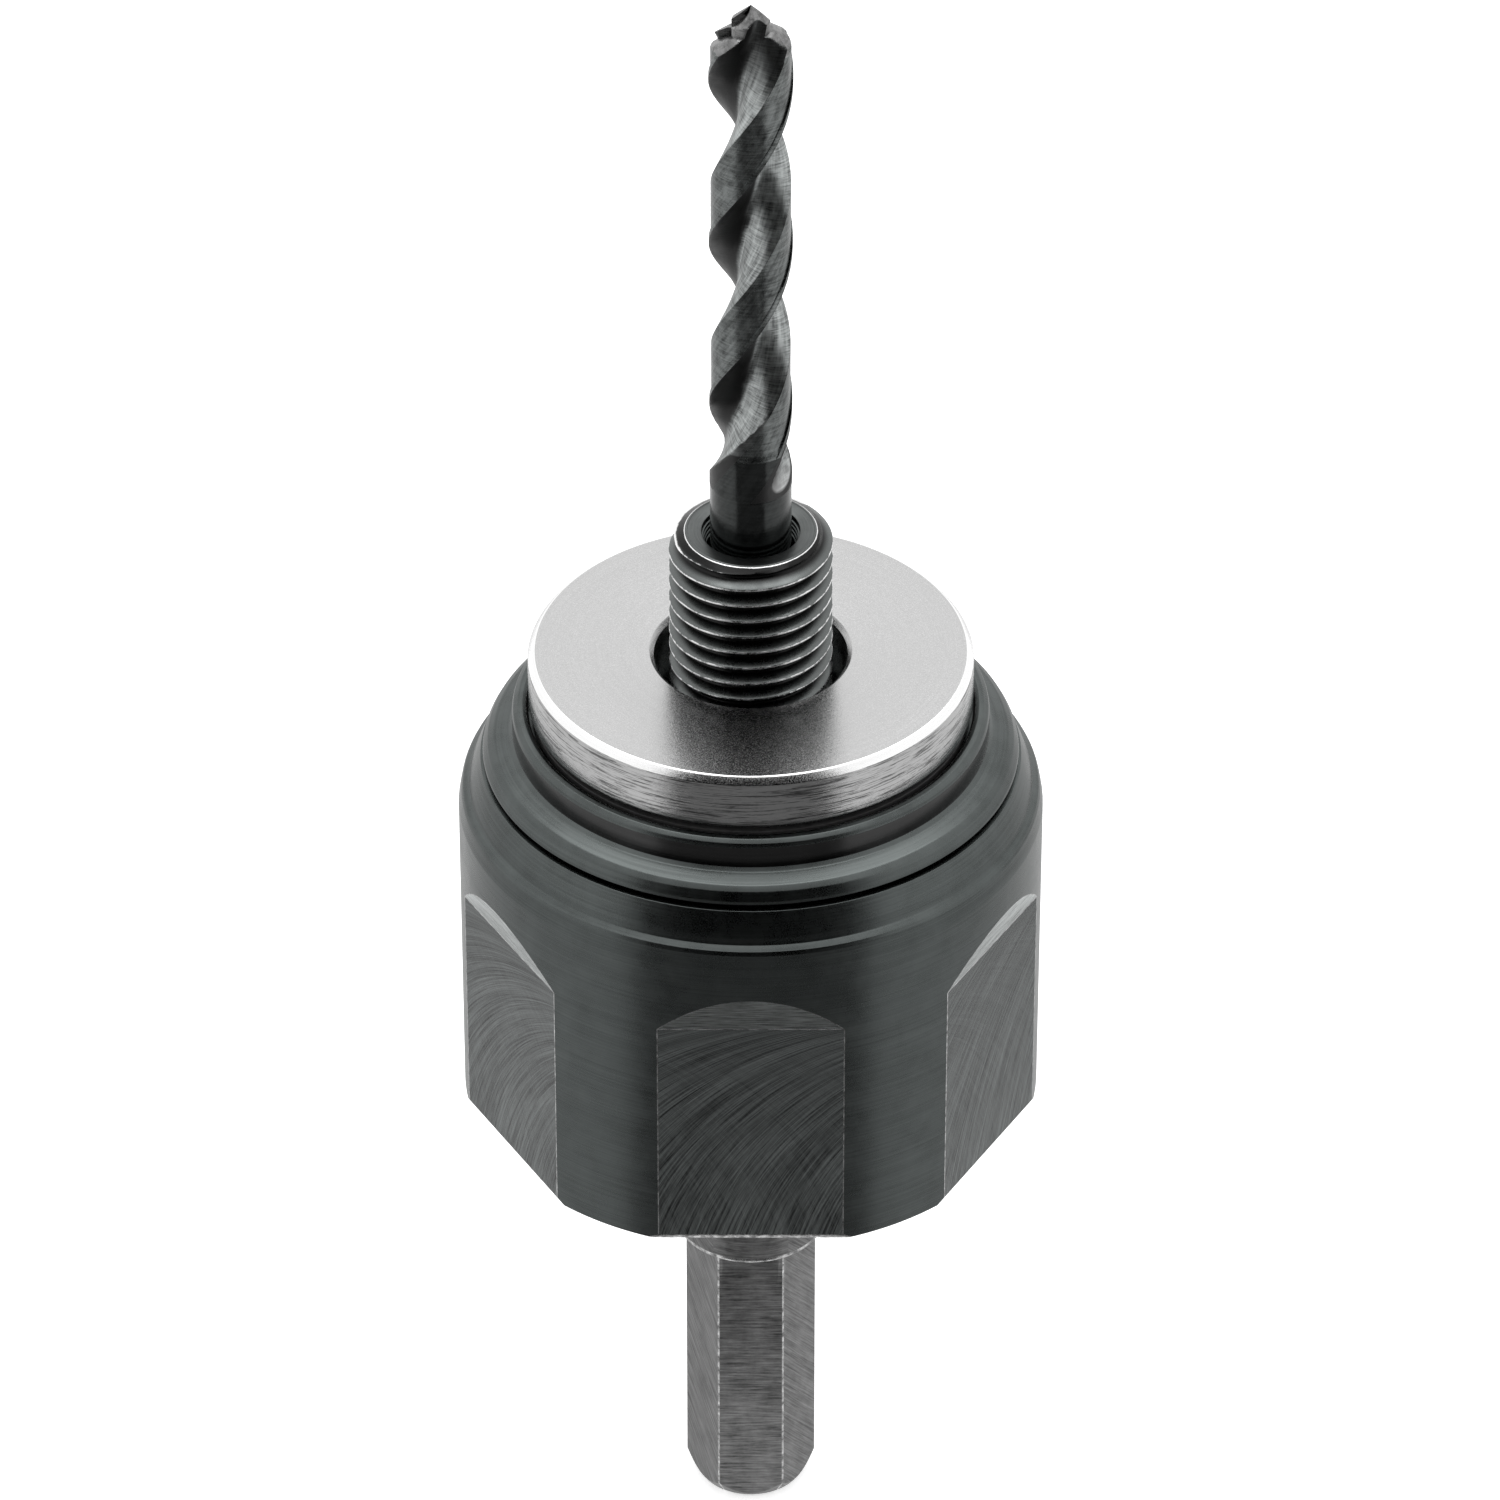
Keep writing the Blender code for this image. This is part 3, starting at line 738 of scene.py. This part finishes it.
def spindle(black, thread, stock, edge_wear_and_highlight, face):
    columns = hex_columns()
    rows = []
    tags = []

    def add(points, tag):
        rows.append([spot(reach, angle, z) for angle, (reach, z) in zip(columns, points)])
        tags.append(tag)

    def ring(radius, height, tag=BLACKED, half=None):
        """A round ring, or with half a hexagonal one cut off at that radius."""
        points = []
        for angle in columns:
            off = angle % SIXTH
            off = min(off, SIXTH - off)
            reach = min(radius, half / math.cos(off)) if half else radius
            points.append((reach, height))
        add(points, tag)

    ring(0, 0, STOCK)
    ring(4.5, 0, STOCK)
    ring(4.68, 0.03, STOCK)
    for step in range(CHAMFER_ROWS + 1):
        height = 0.08 + 1.52 * step / CHAMFER_ROWS
        ring(4.7 + 1.02 * height / 1.6, height, STOCK, HEX_HALF)
    for height in (4, 8, 12, 16, 20, 24, 28.22):
        ring(HEX_CORNER, height, STOCK, HEX_HALF)
    ring(HEX_CORNER + 0.02, HEX_TOP, BLACKED, HEX_HALF + 0.06)
    # The collar's foot takes the worn material: worn steel and a painted highlight on its edge.
    for radius, height in COLLAR[:-1]:
        ring(radius, height, BARE_AND_HIGHLIGHT)
    ring(*COLLAR[-1], STOCK)
    for radius, height in TURNED_STEPS:
        ring(radius, height)
    before_thread = len(rows)
    ring(THREAD_ROOT, NOSE_FOOT, THREADED)

    turns = int((NOSE_TOP - NOSE_FOOT) / PITCH) + 3
    for turn in range(turns):
        for share, radius in THREAD:
            points = []
            for angle in columns:
                height = NOSE_FOOT + PITCH * (turn - THREAD_LEAD_IN + share + angle / TAU)
                reach = min(radius, BEVEL[0][0] - (height - BEVEL[0][1]) * BEVEL_SPREAD)
                if height < NOSE_FOOT:
                    reach, height = THREAD_ROOT, NOSE_FOOT
                if height > NOSE_TOP:
                    reach, height = BEVEL[1][0], NOSE_TOP
                points.append((reach, height))
            add(points, THREADED)
    after_thread = len(rows)
    tags[-1] = END_FACE
    for radius, height in END_RING:
        ring(radius, height, END_FACE)
    for radius, height in BORE:
        ring(radius, height)
    ring(0, 55.6)

    width = len(columns)
    faces = []
    face_tags = []
    for row in range(len(rows) - 1):
        for step in range(width):
            if step == width - 1 and before_thread <= row <= after_thread - 1:
                continue
            after = (step + 1) % width
            low, high = row * width, (row + 1) * width
            faces.append((low + step, low + after, high + after, high + step))
            tag = tags[row]
            # Strips on the hexagon's corners below its top take the worn material: worn steel and a
            # painted edge highlight.
            at_corner = step % SIDE_COLUMNS >= FLAT_COLUMNS - 1
            if tag == STOCK and at_corner and rows[row][0][2] < HEX_TOP:
                tag = BARE_AND_HIGHLIGHT
            face_tags.append(tag)
    # At the seam the thread's last column meets the first column's rows one turn on.
    seam = range(before_thread, after_thread + 1)
    left = [row * width + width - 1 for row in seam]
    right = [row * width for row in seam]
    for step in range(len(seam) - 1):
        here = min(step + len(THREAD), len(seam) - 1) if step else 0
        there = min(step + 1 + len(THREAD), len(seam) - 1)
        faces.append((left[step], right[here], right[there], left[step + 1]))
        face_tags.append(THREADED)
    materials = (black, thread, stock, edge_wear_and_highlight, face)
    obj = make("spindle", flat(rows), faces, face_tags, materials, 34)
    tools = [peg("tapped", (0, 3.0, SCREW_HEIGHT), (0, 11.5, SCREW_HEIGHT), 3.1, 40)]
    for degrees in PIN_DEGREES:
        x, y = on_circle(PIN_CIRCLE, degrees)
        tools.append(peg("pin_hole", (x, y, 50), (x, y, 55), 1.5, 24))
    cut(obj, *tools)
    place(obj, "arbor", "arbor_spindle")


def peg(name, start, end, radius, steps, flare=0.0):
    """Cylinder between two points, with its far end flared if wanted."""
    start, end = Vector(start), Vector(end)
    axis = (end - start).normalized()
    side = axis.orthogonal().normalized()
    other = axis.cross(side)
    rows = []
    stops = [(start, 0.0), (start, radius), (end, radius), (end, 0.0)]
    if flare:
        stops = [(start, 0.0), (start, radius), (end - axis * flare, radius), (end, radius + flare)]
        stops += [(end + axis * 3, radius + flare), (end + axis * 3, 0.0)]
    for centre, size in stops:
        row = []
        for step in range(steps):
            angle = TAU * step / steps
            row.append(tuple(centre + (side * math.cos(angle) + other * math.sin(angle)) * size))
        rows.append(row)
    return make(name, flat(rows), skin(rows, False))


# ---------------- drill

# A flute climbs this far in one turn, and a land's centre faces the front at this height
LEAD = 31.2
LAND_AT_FRONT = 141.0
DRILL_R = 3.46
DRILL_SHANK_R = 3.42
DRILL_FOOT = 56.0
FLUTE_START = 106.7
# The lands are ground back by this share of the radius, from this height up
LAND_RELIEF = 0.045
LAND_START = 110.8
LAND_FADE = 0.7
POINT_START = 149.0
DRILL_TIP = 153.0
# Height from one row of points to the next, on the flutes and on the point
FLUTE_ROW = 0.22
POINT_ROW = 0.05
# Share of the radius against degrees from a land's centre: land, margin, cutting face, web, heel
SECTION = (
    (-33.5, 0.955),
    (25.5, 0.955),
    (26.5, 1.0),
    (33.5, 1.0),
    (37.0, 0.76),
    (47.0, 0.48),
    (62.0, 0.34),
    (78.0, 0.30),
    (95.0, 0.33),
    (112.0, 0.45),
    (128.0, 0.66),
    (139.0, 0.84),
    (146.5, 0.955),
)
# Degrees from a land's centre to where the flute starts
FLUTE_FROM = 33.5
# (height, how far the flute's floor is lifted there) where the flute runs out
RUN_OUT = (
    (106.8, 2.45),
    (107.2, 2.3),
    (108.3, 1.8),
    (109.5, 1.4),
    (111.3, 1.0),
    (112.7, 0.8),
    (115.5, 0.0),
)
# The ground point's (radius, height), and how much lower it is at the back of a land
POINT = ((3.46, 149.5), (1.95, 150.6), (1.58, 150.65), (1.58, 151.6), (0.0, 153.0))
POINT_RELIEF = 0.9
# Degrees from a land's centre of each column of points: land, margin, cutting face, rest
LAND_COLUMNS = (*(-33.5 + 59 * i / 10 for i in range(11)), 26.0, 26.5, 28.5, 31.0)
FLUTE_COLUMNS = (33.4, 33.9, 34.6, 35.5, 36.5, 38.0, 40.0, 42.5)
FLUTE_COLUMNS += (*(45.0 + 3.6 * i for i in range(28)), 145.6)
# The drill's material slots
LAND, FLUTED, GROUND, SHANK = range(4)


def follow(table, value, smooth=False):
    """Reads a table of pairs, by straight lines or by a smooth curve through them. Outside
    the table it gives the nearest end's value."""
    last = len(table) - 1
    for index in range(last):
        if value <= table[index + 1][0] or index == last - 1:
            break
    (x0, y0), (x1, y1) = table[index], table[index + 1]
    share = min(max((value - x0) / (x1 - x0), 0.0), 1.0)
    if not smooth:
        return y0 + (y1 - y0) * share
    before = table[max(index - 1, 0)]
    after = table[min(index + 2, last)]
    rise0 = (y1 - before[1]) / (x1 - before[0]) * (x1 - x0) if index > 0 else y1 - y0
    rise1 = (after[1] - y0) / (after[0] - x0) * (x1 - x0) if index + 2 <= last else y1 - y0
    t2, t3 = share * share, share**3
    return (
        (2 * t3 - 3 * t2 + 1) * y0
        + (t3 - 2 * t2 + share) * rise0
        + (3 * t2 - 2 * t3) * y1
        + (t3 - t2) * rise1
    )


FLUTE = tuple(pair for pair in SECTION if pair[0] >= FLUTE_FROM)
POINT_HEIGHTS = tuple((-high, wide) for wide, high in reversed(POINT))


def drill_reach(around, height):
    """(radius, whether the ground point sets it) at an angle from a land's centre, in degrees."""
    around = (around + FLUTE_FROM) % 180 - FLUTE_FROM
    share = min(max((height - LAND_START) / LAND_FADE, 0.0), 1.0)
    if around > FLUTE_FROM:
        land = DRILL_R * (1 - LAND_RELIEF * share)
        most = DRILL_R if around < 60 else land
        lift = 0.0 if height > RUN_OUT[-1][0] else follow(RUN_OUT, height, True)
        radius = min(most, DRILL_R * follow(FLUTE, around, True) + lift)
    else:
        radius = DRILL_R * (1 - (1 - follow(SECTION, around)) * share)
    if height < FLUTE_START:
        radius = DRILL_SHANK_R
    behind = min(max((FLUTE_FROM - around) / (2 * FLUTE_FROM), 0.0), 1.0)
    limit = follow(POINT_HEIGHTS, -(height + POINT_RELIEF * behind))
    return min(radius, limit), limit < radius


def drill(land, flute, ground, shank):
    half = LAND_COLUMNS + FLUTE_COLUMNS
    columns = half + tuple(around + 180 for around in half)
    plain_top = FLUTE_START - 0.05
    heights = [DRILL_FOOT + 0.6, 65, 75, 85, 95, plain_top]
    while heights[-1] < POINT_START:
        heights.append(heights[-1] + FLUTE_ROW)
    while heights[-1] < DRILL_TIP - 0.06:
        heights.append(heights[-1] + POINT_ROW)
    rows = []
    tags = []

    def add(radii, height, row_tags):
        twisted = height if height >= FLUTE_START - 1 else plain_top
        turn = math.degrees(TAU * (twisted - LAND_AT_FRONT) / LEAD)
        row = []
        for around, radius in zip(columns, radii):
            row.append(spot(radius, math.radians(around + turn), height))
        rows.append(row)
        tags.append(row_tags)

    for radius, height in ((0.0, DRILL_FOOT), (2.9, DRILL_FOOT)):
        add([radius] * len(columns), height, [SHANK] * len(columns))
    for height in heights:
        reach = [drill_reach(around, height) for around in columns]
        radii = [max(radius, 0.0) for radius, _ in reach]
        row_tags = []
        for step, (_, at_point) in enumerate(reach):
            if at_point:
                row_tags.append(GROUND)
            elif step % len(half) >= len(LAND_COLUMNS) and height > FLUTE_START:
                row_tags.append(FLUTED)
            else:
                row_tags.append(LAND if height > LAND_START else SHANK)
        add(radii, height, row_tags)
    add([0.0] * len(columns), DRILL_TIP, [GROUND] * len(columns))
    materials = (land, flute, ground, shank)
    obj = make("pilot_bit", flat(rows), skin(rows, False), flat(tags[:-1]), materials, 30)
    place(obj, "pilot", "pilot_drill")


# ---------------- body

BODY_R = 25.0
FOOT = 44.7
FLAT_HALF = 23.73
FLAT_TOP = 67.4
RUNOUT_TOP = 71.3
# The foot's chamfer on each flat: how high and how deep
FOOT_RISE = 0.65
FOOT_DEPTH = 0.38
# Width of the worn strip along a flat's side, which is also a painted edge highlight
EDGE = 0.05
# Points across each flat, and over each arc between flats
ACROSS_FLAT = 13
OVER_ARC = 23
# The body's material slots
TURNED, MILLED, RUNOUT, WORN_AND_HIGHLIGHT = range(4)
# (radius, height, fillet) from the top of the flats, over the shoulder and down the inside
SHOULDER = (
    (25.0, RUNOUT_TOP),
    (25.0, 74.4, 1.2),
    (24.75, 75.8, 0.5),
    (24.6, 76.12, 0.1),
    (24.05, 76.45, 0.14),
    (23.9, 76.95, 0.2),
    (23.05, 79.2, 0.08),
    (20.0, 79.2),
    (20.0, 76.0),
    (17.0, 76.0),
    (17.0, 73.9),
    (10.3, 73.9),
    (10.3, 56.2),
    (15.4, 56.2),
    (15.4, 48.0),
    (17.8, 48.0),
    (17.8, 46.3),
    (18.7, 46.3),
    (18.7, 45.0),
    (17.8, 45.0),
    (17.8, FOOT),
    (24.8, FOOT),
)
# Rows over the curved top of each flat
RUNOUT_ROWS = 14
# The stop pins' curved slots, and how far a pin travels in one, in degrees
SLOT_RADII = (11.45, 14.55)
SLOT_HEIGHTS = (55.5, 62.8)
SLOT_TRAVEL = 90


def flat_distance(height):
    """How far the flat's surface stands from the axis."""
    if height < FOOT + FOOT_RISE:
        return FLAT_HALF - FOOT_DEPTH * (1 - (height - FOOT) / FOOT_RISE)
    if height <= FLAT_TOP:
        return FLAT_HALF
    return FLAT_HALF + (height - FLAT_TOP) * (BODY_R - FLAT_HALF) / (RUNOUT_TOP - FLAT_TOP)


def body_row(radius, height, distance=None):
    """One ring of points: across each flat, then over each arc between flats."""
    half = math.sqrt(max(radius * radius - distance * distance, 0.0)) if distance else 0.0
    inset = min(EDGE, half / 2)
    start = math.asin(min(half / radius, 1.0)) + (EDGE / radius if distance else 0.0)
    points = []
    for side in range(6):
        base = side * SIXTH
        for step in range(ACROSS_FLAT):
            across = (2 * step / (ACROSS_FLAT - 1) - 1) * (half - inset)
            deep = distance if distance else radius
            angle = base + math.atan2(across, deep)
            points.append(spot(math.hypot(across, deep), angle, height))
        for step in range(OVER_ARC):
            angle = base + start + (SIXTH - 2 * start) * step / (OVER_ARC - 1)
            points.append(spot(radius, angle, height))
    return points


def body(materials):
    rows = []
    marks = []

    def wall(height, mark, radius=BODY_R):
        rows.append(body_row(radius, height, flat_distance(height)))
        marks.append(mark)

    # The rows over each flat's foot chamfer are worn strips: worn steel and a painted edge
    # highlight.
    wall(FOOT, WORN_AND_HIGHLIGHT, 24.8)
    wall(FOOT + 0.2, WORN_AND_HIGHLIGHT)
    wall(FOOT + 0.63, WORN_AND_HIGHLIGHT)
    for height in (FOOT + 0.68, 48, 52, 56, 60, 64):
        wall(height, MILLED)
    # So is the row along the top of each flat.
    wall(FLAT_TOP - 0.05, WORN_AND_HIGHLIGHT)
    wall(FLAT_TOP + 0.05, RUNOUT)
    widest = math.acos(FLAT_HALF / BODY_R)
    climb = (RUNOUT_TOP - FLAT_TOP) / (BODY_R - FLAT_HALF)
    for step in range(1, RUNOUT_ROWS + 1):
        distance = BODY_R * math.cos(widest * (1 - step / RUNOUT_ROWS))
        height = FLAT_TOP + (distance - FLAT_HALF) * climb
        wall(height, RUNOUT if step < RUNOUT_ROWS else TURNED)
    for radius, height, _ in rounded(SHOULDER)[1:-1]:
        rows.append(body_row(radius, height))
        marks.append(TURNED)
    # A marked row has its mark on the flats, worn strips along their sides that are also a painted
    # edge highlight, and plain arcs.
    side = (ACROSS_FLAT - 1, ACROSS_FLAT + OVER_ARC - 1)
    tags = []
    for mark, row in zip(marks, rows):
        for step in range(len(row)):
            index = step % (ACROSS_FLAT + OVER_ARC)
            if mark == TURNED or side[0] < index < side[1]:
                tags.append(TURNED)
            else:
                tags.append(WORN_AND_HIGHLIGHT if index in side else mark)
    obj = make("release_shell", flat(rows), skin(rows, True), tags, materials, 24)
    inside, outside = (0, 9.0, SCREW_HEIGHT), (0, FLAT_HALF + 0.02, SCREW_HEIGHT)
    tools = [peg("key_hole", inside, outside, 3.4, 48, flare=0.25)]
    tools += [slot_tool(degrees) for degrees in PIN_DEGREES]
    cut(obj, *tools)
    place(obj, "release", "release_body")


def slot_tool(degrees):
    """The curved slot one stop pin runs in."""
    spare = math.degrees((SLOT_RADII[1] - SLOT_RADII[0]) / 2 / PIN_CIRCLE)
    start, end = degrees - spare, degrees + SLOT_TRAVEL + spare
    outline = []
    for radius, order in ((SLOT_RADII[1], range(25)), (SLOT_RADII[0], range(24, -1, -1))):
        for step in order:
            outline.append(on_circle(radius, start + (end - start) * step / 24))
    count = len(outline)
    verts = [(x, y, z) for z in SLOT_HEIGHTS for x, y in outline]
    faces = [tuple(range(count))[::-1], tuple(range(count, 2 * count))]
    for step in range(count):
        after = (step + 1) % count
        faces.append((step, after, count + after, count + step))
    return make("slot", verts, faces)


# ---------------- rings, seals and bearing

BALL_COUNT = 12
BALL_CIRCLE = 12.8
BALL_RADIUS = 1.5
BALL_HEIGHT = 77.2
# The snap ring's section, and where its gap starts and how far it goes round, in degrees
SNAP_SECTION = (
    (15.6, 45.38),
    (15.68, 45.3),
    (18.32, 45.3),
    (18.4, 45.38),
    (18.4, 45.92),
    (18.32, 46.0),
    (15.68, 46.0),
    (15.6, 45.92),
)
SNAP_START = 98
SNAP_LENGTH = 344


def top_ring(black, worn_and_highlight, groove_shade):
    outline = [
        (22.6, 79.5, 0.05),
        (22.85, 79.75, 0.06),
        (22.8, 80.0, 0.3),
        (22.42, 80.72, 0.3),
        (21.95, 81.07, 0.5),
        (20.62, 81.48, 0.5),
        # The strip from here up the cove wall takes the darker groove black: painted shade in the
        # recess.
        (20.3, 81.75, 0, 2),
        (20.3, 83.7),
        (20.2, 84.05, 0.2),
        (19.8, 84.32, 0.3),
        (19.4, 84.35, 0.2),
        # This fillet's strips take the worn material: worn steel and a painted rim highlight.
        (19.1, 84.25, 0.1, 1),
        (18.9, 84.0, 0.1),
        (18.9, 83.2),
        (15.5, 83.2),
        (15.5, 81.8),
        (17.0, 81.8),
        (17.0, 76.3),
        (19.7, 76.3),
        (19.7, 79.5),
    ]
    obj = lathe("shoulder_ring", outline, (black, worn_and_highlight, groove_shade), 216, 4, 24)
    place(obj, "release", "top_ring")


def disc(bright, chamfer_highlight):
    outline = [
        (8.2, 89.3, 0.08),
        (8.6, 89.7, 0.08),
        # The chamfer's strips, tag 1, take the brighter chamfer steel: a painted highlight.
        (18.28, 89.7, 0, 1),
        (18.38, 89.685, 0, 1),
        (18.45, 89.635, 0, 1),
        (18.9, 89.1, 0.12),
        (18.9, 85.0, 0.15),
        (18.6, 84.65, 0.1),
        (15.2, 84.65),
        (15.2, 81.4),
        (16.6, 81.4),
        (16.6, 80.4),
        (8.2, 80.4),
    ]
    obj = lathe("saw_disc", outline, (bright, chamfer_highlight), 216, 5, 30)
    place(obj, "seat", "thrust_disc")


def ring_piece(name, node, body_name, outline, material):
    obj = lathe(name, outline, (material,), 144)
    place(obj, body_name, node)


def torus(name, node, body_name, major, minor, height, material):
    outline = []
    for step in range(20):
        angle = TAU * step / 20
        outline.append((major + minor * math.cos(angle), height + minor * math.sin(angle)))
    obj = lathe(name, outline, (material,), 120)
    place(obj, body_name, node)


def snap_ring(material):
    """Open ring of a section with small bevels."""
    rows = []
    steps = 120
    for step in range(steps + 1):
        degrees = SNAP_START + SNAP_LENGTH * step / steps
        rows.append([(*on_circle(radius, degrees), height) for radius, height in SNAP_SECTION])
    faces = skin(rows, False)
    width = len(SNAP_SECTION)
    faces.append(tuple(range(width)))
    faces.append(tuple(range(steps * width, (steps + 1) * width))[::-1])
    obj = make("snap_ring", flat(rows), faces, None, (material,))
    place(obj, "release", "cover_snap_ring")


def bearing(steel, nylon):
    for name, node, body_name, low, high, outer in (
        ("race_upper", "upper_race", "seat", 79.0, 80.1, 16.5),
        ("race_lower", "lower_race", "release", 74.2, 75.4, 16.6),
    ):
        outline = [(8.6, low, 0.12), (outer, low, 0.12), (outer, high, 0.12), (8.6, high, 0.12)]
        ring_piece(name, node, body_name, outline, steel)
    outline = [(9.5, 76.5), (16.0, 76.5), (16.0, 77.9), (9.5, 77.9)]
    cage = lathe("bearing_cage", outline, (nylon,), 144)
    pockets = []
    for index in range(BALL_COUNT):
        x, y = on_circle(BALL_CIRCLE, 360 * (index + 0.5) / BALL_COUNT)
        pockets.append(peg("pocket", (x, y, 76.0), (x, y, 78.4), 1.75, 32))
        ball(index + 1, x, y, steel)
    cut(cage, *pockets)
    place(cage, "cage", "ball_cage")


def ball(number, x, y, steel):
    rows = []
    for ring in range(17):
        tilt = math.pi * ring / 16
        reach = BALL_RADIUS * math.sin(tilt)
        height = BALL_HEIGHT - BALL_RADIUS * math.cos(tilt)
        row = []
        for step in range(32):
            angle = TAU * step / 32
            row.append((x + reach * math.cos(angle), y + reach * math.sin(angle), height))
        rows.append(row)
    obj = make(f"bearing_ball_{number:02d}", flat(rows), skin(rows, False), None, (steel,))
    place(obj, "cage", f"thrust_ball_{number:02d}")


def stop_pin(number, degrees, steel):
    outline = [
        (0, 50.3),
        (1.05, 50.3, 0.05),
        (1.25, 50.5, 0.05),
        (1.25, 60.7, 0.1),
        (1.05, 61.0, 0.1),
        (0, 61.0),
    ]
    obj = lathe(f"travel_pin_{number}", outline, (steel,), 40, 3, closed=False)
    x, y = on_circle(PIN_CIRCLE, degrees)
    obj.data.transform(Matrix.Translation((x * MM, y * MM, 0)))
    place(obj, "arbor", f"stop_pin_{number}")


def grub(steel, brass):
    """The grub screw and its pad, made about Z and turned to point at the drill from behind."""
    facing = Matrix.Translation((0, 0, SCREW_HEIGHT * MM)) @ Matrix.Rotation(-math.pi / 2, 4, "X")
    outline = [(0, 3.78), (1.7, 3.78, 0.1), (2.0, 4.05, 0.1), (2.0, 5.0, 0.06), (0, 5.0)]
    pad = lathe("grub_pad_tip", outline, (brass,), 48, 3, closed=False)
    pad.data.transform(facing)
    place(pad, "grub_pad", "set_screw_pad")
    outline = [(0, 5.3), (2.35, 5.3)]
    for turn in range(3):
        base = 5.45 + turn * 0.9
        outline += [(2.5, base), (2.8, base + 0.35), (2.8, base + 0.5), (2.5, base + 0.85)]
    outline += [(2.5, 8.25), (2.4, 8.3), (0, 8.3)]
    screw = lathe("grub_screw_body", outline, (steel,), 60, 3, closed=False)
    socket = [(*on_circle(1.6, 60 * i), height) for height in (6.7, 9.0) for i in range(6)]
    faces = [(5, 4, 3, 2, 1, 0), (6, 7, 8, 9, 10, 11)]
    faces += [(i, (i + 1) % 6, 6 + (i + 1) % 6, 6 + i) for i in range(6)]
    cut(screw, make("socket", socket, faces))
    screw.data.transform(facing)
    place(screw, "grub_screw", "set_screw")


# ---------------- all of it


def main():
    add_studio()
    black = black_oxide("turned_black", grey(0.07, -0.08), grey(0.115, -0.08), (0.24, 0.34))
    # A darker black for the top ring's cove wall: painted shade in the recess.
    groove_shade = black_oxide("groove_black_painted_shade", grey(0.045), grey(0.07), (0.18, 0.26))
    # Bright steel for worn edges, and also a painted edge highlight where it is put on edges, rims
    # and corners.
    worn_and_highlight = worn_edge_and_highlight("worn_edge_and_highlight", grey(0.2), grey(0.7))
    milled = milled_flat("milled_flats", grey(0.012, -0.06), grey(0.18, -0.06))
    runout = brushed_runout("milled_runout", grey(0.2, -0.05), grey(0.72, -0.04))
    # The thread's root grey is painted shade; its crest grey is worn steel and also a painted
    # highlight.
    thread = thread_finish("thread_black", grey(0.02), grey(0.14, -0.05), grey(0.9))
    tones = grey(0.08, -0.05), grey(0.13, -0.05)
    end_face = black_oxide("nose_face", *tones, (0.3, 0.4), 16.0, 0.01)
    stock = hex_stock("hex_stock", grey(0.045), grey(0.23))
    bright = bright_steel("ground_disc", 0.56, 18.75)
    tones = grey(0.035, -0.05), grey(0.07, -0.05)
    shank = drill_steel("drill_shank", *tones, (0.16, 0.24), 6.0, 0.004)
    tones = grey(0.05, -0.05), grey(0.24, -0.05)
    land = drill_steel("drill_land", *tones, (0.2, 0.32), 8.0, 0.01)
    tones = grey(0.11, -0.04), grey(0.5, -0.04)
    # The first of these greys is the painted shade on a flute's cutting side.
    edges = grey(0.03), grey(0.05)
    flute = drill_steel("drill_flute", *tones, (0.32, 0.42), 10.0, 0.02, *edges)
    ground = drill_steel("drill_point", grey(0.1), grey(0.26), (0.24, 0.34), 6.0, 0.01)
    polished = bright_steel("bearing_polish", 0.66)
    spring = black_oxide("spring_black", grey(0.14), grey(0.2), (0.28, 0.36), 5.0, 0.003)
    rubber = matt("seal_rubber", grey(0.018), grey(0.03), (0.55, 0.7))
    nylon = matt("cage_nylon", (0.42, 0.39, 0.3), (0.52, 0.48, 0.38), (0.45, 0.55))
    brass = matt("pad_brass", (0.6, 0.42, 0.16), (0.72, 0.52, 0.22), (0.28, 0.38), 1.0)

    spindle(black, thread, stock, worn_and_highlight, end_face)
    drill(land, flute, ground, shank)
    body((black, milled, runout, worn_and_highlight))
    top_ring(black, worn_and_highlight, groove_shade)
    # The chamfer steel is brighter than the disc's: a painted highlight.
    disc(bright, bright_steel("disc_chamfer_highlight", 0.95))
    bearing(polished, nylon)
    ring_piece(
        "wiper_seal",
        "dust_seal",
        "release",
        [(15.5, 83.5), (18.6, 83.5, 0.1), (18.6, 84.2, 0.1), (15.5, 84.35)],
        rubber,
    )
    ring_piece(
        "lower_cover",
        "bottom_cover",
        "release",
        [
            (6.95, 45.0, 0.1),
            (9.9, 45.0, 0.1),
            (10.2, 45.3, 0.1),
            (10.2, 46.3, 0.1),
            (17.3, 46.3, 0.06),
            (17.5, 46.5, 0.06),
            (17.5, 47.7),
            (6.95, 47.7),
            (6.95, 47.1),
            (8.6, 47.1),
            (8.6, 45.7),
            (6.95, 45.7),
        ],
        polished,
    )
    torus("hub_seal", "hub_o_ring", "arbor", 9.2, 0.85, 67.7, rubber)
    torus("collar_seal", "neck_seal", "release", 7.65, 0.62, 46.4, rubber)
    snap_ring(spring)
    for number, degrees in enumerate(PIN_DEGREES, 1):
        stop_pin(number, degrees, polished)
    grub(spring, brass)


main()
